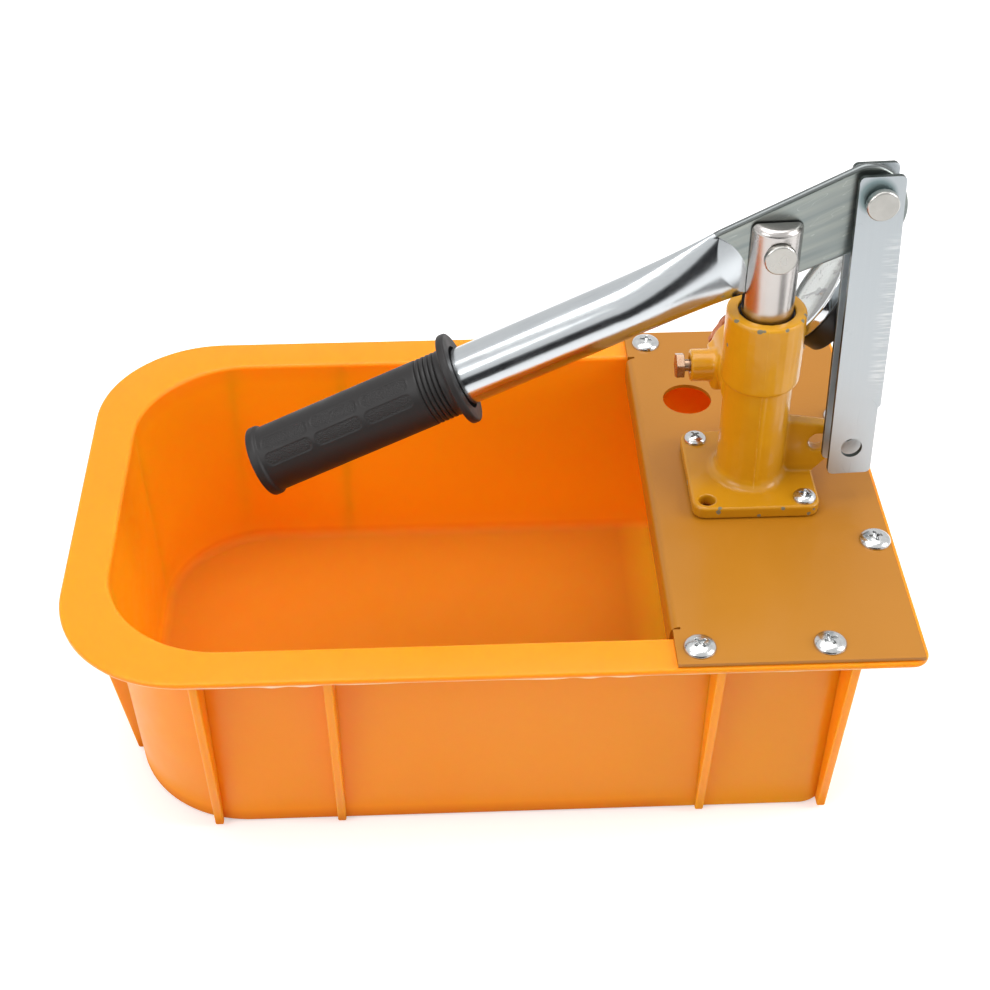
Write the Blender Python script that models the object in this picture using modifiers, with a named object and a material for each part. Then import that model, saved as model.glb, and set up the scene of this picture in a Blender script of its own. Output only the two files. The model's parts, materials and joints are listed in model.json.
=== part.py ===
"""Hand lever pump for hydrostatic pressure tests, standing in its own water tank.

The frame is the tank's: +X runs along the tank towards the pump, +Z is up and the
origin lies under the middle of the tank. All lengths are metres, all angles radians.
The lever hangs on a pin in the plunger's fork and on two links that are pinned to its
far end, so that raising the handle lifts the plunger.
"""

import math

import bmesh
import bpy
from mathutils import Matrix, Vector

# Tank: a moulded tub with a flat rim, its walls drawing in towards the floor.
TANK_LENGTH = 0.400
TANK_WIDTH = 0.2614
TANK_HEIGHT = 0.1227
TANK_WALL = 0.003
TANK_DRAFT = 0.0045
TANK_FOOT_RADIUS = 0.0035
TANK_FLOOR_RADIUS = 0.006
BODY_CORNER_RADIUS = 0.060
BODY_PUMP_CORNER_RADIUS = 0.016
RIM_THICKNESS = 0.003
RIM_OVERHANG = 0.0185
RIM_PUMP_OVERHANG = 0.024
RIM_CORNER_RADIUS = 0.063
RIM_PUMP_CORNER_RADIUS = 0.008
RIM_EDGE_RADIUS = 0.0012
RIM_INNER_RADIUS = 0.0018

# Ribs: thin gussets that carry the rim, on both long sides and on both ends.
RIB_THICKNESS = 0.0042
RIB_SETBACK = 0.0019
RIB_PROUD = 0.0024
RIB_FOOT_RISE = 0.0015
RIB_ROOT = 0.0015
SIDE_RIB_FROM_LEVER_END = 0.0664
SIDE_RIB_SPACING = 0.0608
SIDE_RIB_FROM_PUMP_END = 0.033
SIDE_RIB_PUMP_SPACING = 0.0614
END_RIB_PLACE_SHARES = (-0.42, 0.42)
PUMP_END_RIB_PLACE_SHARES = (-0.29, 0.29)

# Cover: a sheet that closes the pump end of the tank, its inner edge folded down.
COVER_THICKNESS = 0.002
COVER_LENGTH = 0.1135
COVER_SIDE_GAP = 0.0017
COVER_END_GAP = 0.0025
COVER_LIP_DEPTH = 0.014
COVER_LIP_FROM_SIDE = 0.024
COVER_BEND_RADIUS = 0.002
COVER_NOTCH_WIDTH = 0.0015
COVER_NOTCH_DEPTH = 0.004
COVER_WING_SETBACK = 0.001
COVER_FILL_HOLE = 0.0256
COVER_FILL_HOLE_FROM_END = 0.0872
COVER_FILL_HOLE_Y = 0.0672

# Screws and nuts that hold the cover to the rim.
COVER_SCREW = 0.006
COVER_SCREW_CLEARANCE = 0.0006
COVER_SCREW_HEAD = 0.014
COVER_SCREW_HEAD_HEIGHT = 0.0034
COVER_SCREW_RECESS = 0.0065
COVER_NUT_WIDTH = 0.010
COVER_NUT_HEIGHT = 0.005
COVER_SCREW_TAIL = 0.002
COVER_SCREW_FROM_EDGE = 0.0105
COVER_SCREW_FROM_END = 0.0445
COVER_SCREW_SPACING = 0.0595
SCREW_CROWN_SHARES = (1, 0.6, 0.25)
CROSS_SLOT_SHARE = 0.2
CROSS_DEPTH_SHARE = 0.3
SCREW_TURN = math.radians(37.0)
COVER_END_SCREW_FROM_EDGE = 0.010
COVER_END_SCREW_PLACE_SHARE = 0.375

# Pump axis on the tank's length, and the casting that stands on the cover.
PUMP_FROM_END = 0.0649
FLANGE_LENGTH = 0.0626
FLANGE_WIDTH = 0.062
FLANGE_HEIGHT = 0.0067
FLANGE_CORNER_RADIUS = 0.006
FLANGE_EDGE_RADIUS = 0.0016
FLANGE_SCREW_SPACING = 0.048
TUBE_DIAMETER = 0.033
TUBE_FOOT_RADIUS = 0.005
COLLAR_DIAMETER = 0.038
COLLAR_HEIGHT = 0.038
COLLAR_EDGE_RADIUS = 0.0012
COLLAR_SHOULDER = 0.0015
CASTING_HEIGHT = 0.103
PARTING_RIDGE_WIDTH = 0.0014
PARTING_RIDGE_PROUD = 0.0005

# Screws and nuts that hold the casting. One of the four screws is missing.
CASTING_SCREW = 0.005
CASTING_SCREW_CLEARANCE = 0.0006
CASTING_OPEN_HOLE = 0.008
CASTING_SCREW_HEAD = 0.010
CASTING_SCREW_HEAD_HEIGHT = 0.0033
CASTING_SCREW_RECESS = 0.005
CASTING_NUT_WIDTH = 0.008
CASTING_NUT_HEIGHT = 0.004
CASTING_SCREW_TAIL = 0.0015
CASTING_SCREW_CORNERS = ((-1, 1), (1, -1), (1, 1))
CASTING_OPEN_CORNER = (-1, -1)

# Lug on the casting for the lower ends of the links.
LUG_THICKNESS = 0.0068
LUG_OFFSET = 0.0001
LUG_RADIUS = 0.0105
LUG_HOLE = 0.0105
LUG_HOLE_OUT = 0.0328
LUG_HOLE_RISE = 0.0245
LUG_ROOT_RISE = 0.038
LUG_FOOT_OUT = 0.0305

# Plunger, its fork and its seals.
PLUNGER_DIAMETER = 0.0245
PLUNGER_FLOOR_GAP = 0.004
PLUNGER_PIN_RISE = 0.0351
PLUNGER_TOP_RISE = 0.0481
PLUNGER_CHAMFER = 0.002
SLOT_WIDTH = 0.0056
SLOT_DEPTH = 0.0465
PIN_SPOT_DIAMETER = 0.0165
PIN_SPOT_DEPTH = 0.0009
WIPER_DIAMETER = 0.0285
WIPER_HEIGHT = 0.003
WIPER_DEPTH = 0.0022
MOUTH_DIAMETER = 0.027
SEAL_DIAMETER = 0.031
SEAL_HEIGHT = 0.005
SEAL_DEPTH = 0.009

# Valve body on the back of the casting, with the outlet, release screw and gauge.
BOSS_RADIUS = 0.015
BOSS_OFFSET = 0.0029
BOSS_RISE = 0.0568
BOSS_END = 0.038
BLOCK_LENGTH = 0.0172
BLOCK_WIDTH = 0.022
BLOCK_TOP_RISE = 0.0603
BLOCK_HEIGHT = 0.0178
BLOCK_CHAMFER = 0.0022
RELEASE_BOSS_DIAMETER = 0.016
RELEASE_BOSS_LENGTH = 0.0099
RELEASE_Y = 0.024
RELEASE_RISE = 0.0536
PASSAGE_DIAMETER = 0.008
PORT_DIAMETER = 0.003
NIPPLE_HEX_WIDTH = 0.0275
NIPPLE_HEX_LENGTH = 0.005
NIPPLE_THREAD_DIAMETER = 0.020
NIPPLE_THREAD_LENGTH = 0.009
NIPPLE_SPIGOT_DIAMETER = 0.015
NIPPLE_SPIGOT_LENGTH = 0.0055
NIPPLE_BORE = 0.0075
NIPPLE_EDGE = 0.0010
RELEASE_HEX_WIDTH = 0.0115
RELEASE_HEX_LENGTH = 0.004
RELEASE_NECK_LENGTH = 0.003
RELEASE_SHANK_DIAMETER = 0.006
RELEASE_POINT_LENGTH = 0.003
RELEASE_POINT_DIAMETER = 0.002
RELEASE_SHANK_LENGTH = 0.0175

# Gauge: a stem in a slanting boss, its face turned up to whoever works the lever.
GAUGE_BOSS_DIAMETER = 0.018
GAUGE_BOSS_LENGTH = 0.0166
GAUGE_SPOT_DEPTH = 0.0006
GAUGE_SPOT_BEYOND = 0.0014
GAUGE_BOSS_TOP_OUT = 0.0172
GAUGE_BOSS_TOP_Y = 0.0298
GAUGE_BOSS_TOP_RISE = 0.0575
GAUGE_SLANT = math.radians(31.3)
GAUGE_TURN = math.radians(9.2)
GAUGE_REACH = 0.0357
GAUGE_RADIUS = 0.025
GAUGE_CASE_DEPTH = 0.0115
GAUGE_CASE_WALL = 0.0012
GAUGE_BACK_WALL = 0.0015
GAUGE_EDGE_RADIUS = 0.0012
GAUGE_BEZEL_DEPTH = 0.0045
GAUGE_BEZEL_WALL = 0.0009
GAUGE_BEZEL_LIP = 0.0024
GAUGE_DIAL_THICKNESS = 0.0008
GAUGE_DIAL_BACK = 0.0112
GAUGE_LENS_THICKNESS = 0.0010
GAUGE_STEM_HEX_WIDTH = 0.014
GAUGE_STEM_HEX_LENGTH = 0.008
GAUGE_STEM_NECK = 0.0055
GAUGE_STEM_THREAD = 0.0110
GAUGE_STEM_THREAD_LENGTH = 0.012
GAUGE_ARBOR = 0.0016
GAUGE_POINTER_LENGTH = 0.0175
GAUGE_POINTER_TAIL = 0.006
GAUGE_POINTER_WIDTH = 0.0014
GAUGE_POINTER_HUB = 0.0046
GAUGE_POINTER_THICKNESS = 0.0006
GAUGE_POINTER_START = math.radians(135.0)

# Suction side under the cover: seat, ball, pipe and strainer.
SEAT_THREAD = 0.016
SEAT_HEIGHT = 0.0115
SEAT_HEX_WIDTH = 0.022
SEAT_HEX_HEIGHT = 0.007
SEAT_SOCKET_DIAMETER = 0.0145
SEAT_SOCKET_HEIGHT = 0.010
SEAT_CHAMBER = 0.0096
SEAT_CHAMBER_DEPTH = 0.0115
SEAT_BORE = 0.0056
SEAT_BAR = 0.0016
BALL_DIAMETER = 0.008
PIPE_DIAMETER = 0.010
PIPE_WALL = 0.001
STRAINER_DIAMETER = 0.024
STRAINER_HEIGHT = 0.018
STRAINER_WALL = 0.0015
STRAINER_FLOOR_GAP = 0.003
STRAINER_SOCKET = 0.006
STRAINER_HOLE = 0.004
STRAINER_ROWS = 2
STRAINER_COLUMNS = 6

# Lever: one steel tube pressed flat at its pump end.
LEVER_TUBE_DIAMETER = 0.028
LEVER_WALL = 0.002
LEVER_BLADE_THICKNESS = 0.004
LEVER_PIN_SPACING = 0.0502
LEVER_PIN_OFFSET = 0.0034
LEVER_END_BEYOND = 0.0121
LEVER_END_ROUND = 0.0158
LEVER_BLADE_ROOT_HEIGHT = 0.037
LEVER_BLADE_END_HEIGHT = 0.0418
LEVER_HANDLE_LENGTH = 0.2608
LEVER_PRESS_START = 0.078
LEVER_PRESS_END = 0.0205
LEVER_CAVITY_END = 0.025
LEVER_ANGLE = math.radians(24.63)
LEVER_YAW = math.radians(2.7)
LEVER_ROLL = math.radians(1.4)
LEVER_PRESS_SHARE = 1.5
LEVER_PRESS_STEPS = 8
LEVER_ROUND = 28
LEVER_END_STEPS = 5
END_FIRST_SHARE = 0.25

# Grip: a rubber sleeve with a hand stop.
GRIP_LENGTH = 0.108
GRIP_DIAMETER = 0.0325
GRIP_END_DIAMETER = 0.035
GRIP_END_LENGTH = 0.004
GRIP_END_WALL = 0.0042
GRIP_STOP_DIAMETER = 0.045
GRIP_STOP_LENGTH = 0.004
GRIP_STOP_FILLET = 0.003
GRIP_GROOVE_DEPTH = 0.0009
GRIP_GROOVE_WIDTH = 0.0012
GRIP_GROOVE_PITCH = 0.0024
GRIP_GROOVE_COUNT = 5
GRIP_GROOVE_RISE = 0.0188
GRIP_MOUTH_DIAMETER = 0.0315
GRIP_MOUTH_DEPTH = 0.003
GRIP_EDGE_RADIUS = 0.0012

# Links and pins.
LINK_THICKNESS = 0.0026
LINK_GAP = 0.0093
LINK_HOLE_SPACING = 0.1303
LINK_WIDTH = 0.0212
LINK_TOP_END = 0.012
LINK_FOOT_END = 0.0145
LINK_CORNER_RADIUS = 0.0025
LINK_SHEAR_STEP = 0.0012
LINK_SHEAR_TOP_SHARE = 0.3
LINK_SHEAR_FOOT_SHARE = 0.82
LINK_LEAN = math.radians(5.8)
PIN_DIAMETER = 0.0098
PIN_HOLE = 0.0105
PIN_HEAD_DIAMETER = 0.015
PIN_HEAD_THICKNESS = 0.003
LINK_PIN_HEAD_THICKNESS = 0.0036
PIN_HEAD_EDGE = 0.0006
PIN_TAIL = 0.0022
CLIP_THICKNESS = 0.001
CLIP_DIAMETER = 0.0145
CLIP_GROOVE_DEPTH = 0.0009
CLIP_MOUTH = 0.0065

# Clearances and the fineness of round shapes.
SEAT_GAP = 0.0003
RUN_GAP = 0.0003
PART_RUN = 0.0006
CUT_OVERRUN = 0.002
JOIN_SINK = 0.001
JOIN_STEP = 0.0002
WELD_DISTANCE = 0.00001
LARGE_ROUND = 32
MEDIUM_ROUND = 24
SMALL_ROUND = 16
CORNER_STEPS = 6
FILLET_STEPS = 2
SHARP_ANGLE = math.radians(32.0)
FLAT_SHARE = 0.9999
HALF_TURN = math.pi
WELD_SHARE = 0.001
FULL_TURN = math.tau
QUARTER_TURN = math.pi / 2

# Heights that follow from the sizes above.
COVER_BOTTOM = TANK_HEIGHT + SEAT_GAP
COVER_TOP = COVER_BOTTOM + COVER_THICKNESS
CASTING_BOTTOM = COVER_TOP + SEAT_GAP
FLANGE_TOP = CASTING_BOTTOM + FLANGE_HEIGHT
CASTING_TOP = CASTING_BOTTOM + CASTING_HEIGHT
PUMP_X = TANK_LENGTH / 2 - PUMP_FROM_END
BORE_DIAMETER = PLUNGER_DIAMETER + PART_RUN
BORE_FLOOR = CASTING_BOTTOM + SEAT_HEIGHT - SEAT_BAR
PLUNGER_BOTTOM = CASTING_BOTTOM + SEAT_HEIGHT + PLUNGER_FLOOR_GAP
PIN_HEIGHT = CASTING_TOP + PLUNGER_PIN_RISE
LEVER_PIN = Vector((PUMP_X, 0, PIN_HEIGHT))
TURN = Matrix.Rotation(LEVER_YAW, 3, "Z")
LINK_PIN_OUT = (LEVER_PIN_SPACING * math.cos(LEVER_ANGLE)
                - LEVER_PIN_OFFSET * math.sin(LEVER_ANGLE))
LINK_PIN_UP = (LEVER_PIN_SPACING * math.sin(LEVER_ANGLE)
               + LEVER_PIN_OFFSET * math.cos(LEVER_ANGLE))
LINK_PIN = LEVER_PIN + TURN @ Vector((LINK_PIN_OUT, 0, LINK_PIN_UP))
COVER_RIGHT = TANK_LENGTH / 2 - COVER_END_GAP
COVER_LEFT = COVER_RIGHT - COVER_LENGTH
COVER_WIDTH = TANK_WIDTH - 2 * COVER_SIDE_GAP
COVER_LIP_WIDTH = COVER_WIDTH - 2 * COVER_LIP_FROM_SIDE
BOSS_X = PUMP_X - BOSS_OFFSET
BOSS_Z = CASTING_BOTTOM + BOSS_RISE
BLOCK_LEFT = BOSS_X - BLOCK_LENGTH
RELEASE_Z = CASTING_BOTTOM + RELEASE_RISE
RELEASE_FACE = BLOCK_LEFT - RELEASE_BOSS_LENGTH
GAUGE_AXIS = Vector((math.sin(GAUGE_SLANT), 0, math.cos(GAUGE_SLANT)))
GAUGE_FOOT = Vector((PUMP_X + GAUGE_BOSS_TOP_OUT, GAUGE_BOSS_TOP_Y,
                     CASTING_BOTTOM + GAUGE_BOSS_TOP_RISE))
BLADE_HALF = LEVER_BLADE_THICKNESS / 2
BLADE_END = LEVER_PIN_SPACING + LEVER_END_BEYOND - LEVER_END_ROUND
LINK_OUTER_FACE = (LINK_GAP / 2 + LINK_THICKNESS) / math.cos(LINK_LEAN)
LINK_PIN_SEAT = LINK_OUTER_FACE + PIN_HEAD_DIAMETER / 2 * math.tan(LINK_LEAN)


def clear_scene():
    """Take away whatever the scene starts with."""
    for old in list(bpy.data.objects):
        bpy.data.objects.remove(old)


def new_collection(name):
    """A collection under the scene's own."""
    made = bpy.data.collections.new(name)
    bpy.context.scene.collection.children.link(made)
    return made


def new_material(name, color, roughness, metallic):
    """A plain Principled material with the piece's colour."""
    made = bpy.data.materials.get(name) or bpy.data.materials.new(name)
    made.use_nodes = True
    made.diffuse_color = (*color, 1)
    shader = made.node_tree.nodes["Principled BSDF"]
    shader.inputs["Base Color"].default_value = (*color, 1)
    shader.inputs["Roughness"].default_value = roughness
    shader.inputs["Metallic"].default_value = metallic
    return made


def add_object(name, mesh, group):
    """An object for a mesh, in the collection of pieces or of cutters."""
    made = bpy.data.objects.new(name, mesh)
    group.link(made)
    return made


def place(piece, location=(0, 0, 0), rotation=(0, 0, 0), parent=None):
    """Put a piece at its place, in its parent's frame where it has one."""
    piece.parent = parent
    piece.location = location
    piece.rotation_euler = rotation
    return piece


def as_cutter(tool):
    """Mark an object as a tool that only shapes others."""
    for group in list(tool.users_collection):
        group.objects.unlink(tool)
    CUTTERS.objects.link(tool)
    tool.hide_render = True
    tool.display_type = "WIRE"
    return tool


def shape_with(piece, tool, operation):
    """Join a tool to a piece, or cut it out of the piece."""
    modifier = piece.modifiers.new(tool.name, "BOOLEAN")
    modifier.operation = operation
    modifier.solver = "EXACT"
    modifier.object = as_cutter(tool)
    return piece


def cut(piece, tool):
    """Cut a tool out of a piece."""
    return shape_with(piece, tool, "DIFFERENCE")


def join(piece, tool):
    """Join a tool to a piece."""
    return shape_with(piece, tool, "UNION")


def bevel_edges(piece, width, segments=2, angle=SHARP_ANGLE):
    """Round the sharp edges of a piece."""
    modifier = piece.modifiers.new("edges", "BEVEL")
    modifier.width = width
    modifier.segments = segments
    modifier.limit_method = "ANGLE"
    modifier.angle_limit = angle
    return piece


def settle(piece):
    """Turn what the modifiers give into the piece's own mesh, smooth where it is round."""
    bpy.context.view_layer.update()
    seen = piece.evaluated_get(bpy.context.evaluated_depsgraph_get())
    mesh = bpy.data.meshes.new_from_object(seen)
    piece.modifiers.clear()
    piece.data = mesh
    mesh.shade_smooth()
    mesh.set_sharp_from_angle(angle=SHARP_ANGLE)
    return piece


def flatten_ends(piece):
    """Make each flat end of a turned piece one face instead of a fan."""
    skin = bmesh.new()
    skin.from_mesh(piece.data)
    middles = [point for point in skin.verts if point.co.xy.length < WELD_DISTANCE]
    flat = [point for point in middles
            if all(abs(face.normal.z) > FLAT_SHARE for face in point.link_faces)]
    bmesh.ops.dissolve_verts(skin, verts=flat)
    skin.to_mesh(piece.data)
    skin.free()
    return piece


def turned(name, profile, steps=MEDIUM_ROUND, group=None):
    """A turned piece about its own Z: the profile runs down its outer side."""
    mesh = bpy.data.meshes.new(name)
    points = [(radius, 0, height) for radius, height in profile]
    edges = [(at, at + 1) for at in range(len(points) - 1)]
    if profile[0][0] > 0 and profile[-1][0] > 0:
        edges.append((len(points) - 1, 0))
    mesh.from_pydata(points, edges, [])
    piece = add_object(name, mesh, (group or PIECES).objects)
    screw = piece.modifiers.new("turn", "SCREW")
    screw.axis = "Z"
    screw.steps = steps
    screw.render_steps = steps
    screw.use_merge_vertices = True
    screw.merge_threshold = WELD_DISTANCE
    return flatten_ends(settle(piece))


def rod(name, diameter, top, bottom, steps=MEDIUM_ROUND):
    """A plain turned rod along its own Z, for joining or cutting."""
    radius = diameter / 2
    return turned(name, [(0, top), (radius, top), (radius, bottom), (0, bottom)], steps, CUTTERS)


def rod_between(name, diameter, start, end, steps=SMALL_ROUND):
    """A plain rod from one point to another, for joining or cutting."""
    way = end - start
    made = rod(name, diameter, way.length, 0, steps)
    made.location = start
    made.rotation_euler = way.to_track_quat("Z", "Y").to_euler()
    return made


def box(name, size, center, group=None):
    """A box with its size in its mesh."""
    mesh = bpy.data.meshes.new(name)
    shell = bmesh.new()
    bmesh.ops.create_cube(shell, size=1)
    bmesh.ops.scale(shell, vec=Vector(size), verts=shell.verts)
    bmesh.ops.translate(shell, vec=Vector(center), verts=shell.verts)
    shell.to_mesh(mesh)
    shell.free()
    return add_object(name, mesh, (group or CUTTERS).objects)


def plate(name, outlines, thickness, group=None):
    """A flat outline in its own XY, with holes where more outlines lie inside it."""
    curve = bpy.data.curves.new(name, "CURVE")
    curve.dimensions = "2D"
    curve.fill_mode = "BOTH"
    curve.extrude = thickness / 2
    for outline in outlines:
        spline = curve.splines.new("POLY")
        spline.points.add(len(outline) - 1)
        spline.use_cyclic_u = True
        for point, (x, y) in zip(spline.points, outline):
            point.co = (x, y, 0, 1)
    drawn = add_object(name + "_outline", curve, CUTTERS.objects)
    bpy.context.view_layer.update()
    seen = drawn.evaluated_get(bpy.context.evaluated_depsgraph_get())
    mesh = bpy.data.meshes.new_from_object(seen)
    bpy.data.objects.remove(drawn)
    solid = bmesh.new()
    solid.from_mesh(mesh)
    bmesh.ops.remove_doubles(solid, verts=solid.verts, dist=WELD_DISTANCE)
    bmesh.ops.recalc_face_normals(solid, faces=solid.faces)
    solid.to_mesh(mesh)
    solid.free()
    mesh.name = name
    mesh.shade_smooth()
    mesh.set_sharp_from_angle(angle=SHARP_ANGLE)
    return add_object(name, mesh, (group or PIECES).objects)


def loft(name, rings, group=None):
    """A closed skin through rings of equally many points, capped at both ends."""
    skin = bmesh.new()
    rows = [[skin.verts.new(point) for point in ring] for ring in rings]
    count = len(rows[0])
    for lower, upper in zip(rows[:-1], rows[1:]):
        for at in range(count):
            after = (at + 1) % count
            skin.faces.new((lower[at], lower[after], upper[after], upper[at]))
    skin.faces.new(list(reversed(rows[0])))
    skin.faces.new(rows[-1])
    bmesh.ops.recalc_face_normals(skin, faces=skin.faces)
    mesh = bpy.data.meshes.new(name)
    skin.to_mesh(mesh)
    skin.free()
    mesh.shade_smooth()
    mesh.set_sharp_from_angle(angle=SHARP_ANGLE)
    return add_object(name, mesh, (group or PIECES).objects)


def arc(center, radius, start, end, steps):
    """Points on an arc, both ends included."""
    turns = [start + (end - start) * at / steps for at in range(steps + 1)]
    return [(center[0] + radius * math.cos(t), center[1] + radius * math.sin(t)) for t in turns]


def circle(center, diameter, steps=MEDIUM_ROUND):
    """Points of a round outline."""
    return arc(center, diameter / 2, 0, FULL_TURN, steps)[:-1]


def hexagon(width):
    """Points of a hexagon with the given width across flats."""
    return circle((0, 0), width / math.cos(HALF_TURN / 6), 6)


def rounded_outline(left, right, half_width, left_radius, right_radius, steps=CORNER_STEPS):
    """A rectangle along X whose left and right corners have their own radii."""
    front = -half_width
    corners = (
        ((left + left_radius, front + left_radius), left_radius, HALF_TURN),
        ((right - right_radius, front + right_radius), right_radius, 3 * QUARTER_TURN),
        ((right - right_radius, half_width - right_radius), right_radius, 0),
        ((left + left_radius, half_width - left_radius), left_radius, QUARTER_TURN),
    )
    outline = []
    for center, radius, start in corners:
        outline += arc(center, radius, start, start + QUARTER_TURN, steps)
    return outline


def body_ring(height, inset):
    """The tank's outer wall at a height, moved inwards by an inset."""
    draw = TANK_DRAFT * (TANK_HEIGHT - height) / TANK_HEIGHT
    left = -TANK_LENGTH / 2 + RIM_OVERHANG + draw + inset
    right = TANK_LENGTH / 2 - RIM_PUMP_OVERHANG - draw - inset
    half_width = TANK_WIDTH / 2 - RIM_OVERHANG - draw - inset
    outline = rounded_outline(left, right, half_width, BODY_CORNER_RADIUS - inset,
                              BODY_PUMP_CORNER_RADIUS - inset)
    return [(x, y, height) for x, y in outline]


def rim_ring(height, inset):
    """The rim's outer edge at a height, moved inwards by an inset."""
    outline = rounded_outline(-TANK_LENGTH / 2 + inset, TANK_LENGTH / 2 - inset,
                              TANK_WIDTH / 2 - inset, RIM_CORNER_RADIUS - inset,
                              RIM_PUMP_CORNER_RADIUS - inset)
    return [(x, y, height) for x, y in outline]


def fillet(ring, base, radius, start, end):
    """Rings round a fillet: its angle sets both the height and the inset."""
    rings = []
    for at in range(FILLET_STEPS + 1):
        turn = start + (end - start) * at / FILLET_STEPS
        rings.append(ring(base[1] + radius * math.sin(turn), base[0] - radius * math.cos(turn)))
    return rings


def tank_rings():
    """The tank's skin, from under its foot, over the rim and down to its floor."""
    under = TANK_HEIGHT - RIM_THICKNESS
    rings = fillet(body_ring, (TANK_FOOT_RADIUS, TANK_FOOT_RADIUS), TANK_FOOT_RADIUS,
                   -QUARTER_TURN, 0)
    rings.append(body_ring(under, 0))
    rings += fillet(rim_ring, (RIM_EDGE_RADIUS, under + RIM_EDGE_RADIUS), RIM_EDGE_RADIUS,
                    -QUARTER_TURN, 0)
    rings += fillet(rim_ring, (RIM_EDGE_RADIUS, TANK_HEIGHT - RIM_EDGE_RADIUS), RIM_EDGE_RADIUS,
                    0, QUARTER_TURN)
    inner_edge = (TANK_WALL - RIM_INNER_RADIUS, TANK_HEIGHT - RIM_INNER_RADIUS)
    rings += fillet(body_ring, inner_edge, RIM_INNER_RADIUS, QUARTER_TURN, HALF_TURN)
    inner_foot = (TANK_WALL + TANK_FLOOR_RADIUS, TANK_WALL + TANK_FLOOR_RADIUS)
    rings += fillet(body_ring, inner_foot, TANK_FLOOR_RADIUS, 0, -QUARTER_TURN)
    return rings


def rib_outline(half_span, overhang):
    """A gusset seen from its side: out to the rim, in along the wall."""
    wall_top = half_span - overhang
    wall_foot = wall_top - TANK_DRAFT
    under = TANK_HEIGHT - RIM_THICKNESS
    foot_out = wall_foot + RIB_PROUD
    corner = (foot_out - RIB_PROUD, RIB_FOOT_RISE + RIB_PROUD)
    outline = arc(corner, RIB_PROUD, 0, -QUARTER_TURN, FILLET_STEPS)
    outline.append((wall_foot - RIB_ROOT, RIB_FOOT_RISE))
    outline.append((wall_top - RIB_ROOT, under + JOIN_SINK))
    outline.append((half_span - RIB_SETBACK, under + JOIN_SINK))
    return outline


def add_rib(tank, name, half_span, overhang, at, turn):
    """Stand one gusset on the tank's wall."""
    rib = plate(name, [rib_outline(half_span, overhang)], RIB_THICKNESS, CUTTERS)
    place(rib, at, (QUARTER_TURN, 0, turn))
    join(tank, rib)


def cover_screw_places():
    """Where the cover's screws stand, on the rim's middle."""
    side = COVER_WIDTH / 2 - COVER_SCREW_FROM_EDGE
    right = TANK_LENGTH / 2 - COVER_SCREW_FROM_END
    places = [(x, y) for x in (right - COVER_SCREW_SPACING, right) for y in (-side, side)]
    end = TANK_LENGTH / 2 - COVER_END_SCREW_FROM_EDGE
    end_side = TANK_WIDTH / 2 * COVER_END_SCREW_PLACE_SHARE
    return places + [(end, -end_side), (end, end_side)]


def casting_screw_places(corners):
    """Corners of the casting's flange where screws stand."""
    half = FLANGE_SCREW_SPACING / 2
    return [(PUMP_X + half * x, half * y) for x, y in corners]


def drill(piece, name, diameter, places, top, bottom, steps=SMALL_ROUND):
    """Drill upright holes through a piece at each place."""
    for number, (x, y) in enumerate(places, 1):
        hole = rod(f"{piece.name}_{name}_{number}", diameter, top, bottom, steps)
        place(hole, (x, y, 0))
        cut(piece, hole)


def make_tank():
    """The water tank with its rim, gussets and screw holes."""
    tank = loft("tank", tank_rings())
    tank.data.materials.append(material_tank())
    middle = TANK_LENGTH / 2
    left = SIDE_RIB_FROM_LEVER_END - middle
    right = middle - SIDE_RIB_FROM_PUMP_END
    side_ribs = (left, left + SIDE_RIB_SPACING, right - SIDE_RIB_PUMP_SPACING, right)
    for number, x in enumerate(side_ribs, 1):
        add_rib(tank, f"rib_back_{number}", TANK_WIDTH / 2, RIM_OVERHANG, (x, 0, 0), QUARTER_TURN)
        add_rib(tank, f"rib_front_{number}", TANK_WIDTH / 2, RIM_OVERHANG, (x, 0, 0), -QUARTER_TURN)
    for number, share in enumerate(END_RIB_PLACE_SHARES, 1):
        y = TANK_WIDTH / 2 * share
        add_rib(tank, f"rib_end_{number}", middle, RIM_OVERHANG, (0, y, 0), HALF_TURN)
    for number, share in enumerate(PUMP_END_RIB_PLACE_SHARES, 1):
        y = TANK_WIDTH / 2 * share
        add_rib(tank, f"rib_pump_end_{number}", middle, RIM_PUMP_OVERHANG, (0, y, 0), 0)
    drill(tank, "hole", COVER_SCREW + COVER_SCREW_CLEARANCE, cover_screw_places(),
          TANK_HEIGHT + CUT_OVERRUN, TANK_HEIGHT - RIM_THICKNESS - CUT_OVERRUN)
    return tank


def cover_cells(stations):
    """The flat of the sheet as cells between stations, without the two relief notches."""
    columns = (COVER_LEFT + COVER_WING_SETBACK, COVER_LEFT + COVER_BEND_RADIUS + COVER_THICKNESS,
               COVER_LEFT + COVER_BEND_RADIUS + COVER_THICKNESS + COVER_NOTCH_DEPTH, COVER_RIGHT)
    first = (0, 2, 1, 2, 0)
    cells = {(column, row) for row, start in enumerate(first) for column in range(start, 3)}
    faces = []
    for column, row in sorted(cells):
        left, right = columns[column], columns[column + 1]
        front, back = stations[row], stations[row + 1]
        corners = ((left, front), (right, front), (right, back), (left, back))
        faces.append([(x, y, COVER_TOP) for x, y in corners])
        faces.append([(x, y, COVER_BOTTOM) for x, y in reversed(corners)])
        beside = ((column, row - 1), (column + 1, row), (column, row + 1), (column - 1, row))
        for at, other in enumerate(beside):
            if other in cells or (row == 2 and at == 3 and column == 1):
                continue
            (x1, y1), (x2, y2) = corners[at], corners[(at + 1) % 4]
            faces.append([(x1, y1, COVER_BOTTOM), (x2, y2, COVER_BOTTOM),
                          (x2, y2, COVER_TOP), (x1, y1, COVER_TOP)])
    return faces


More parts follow.
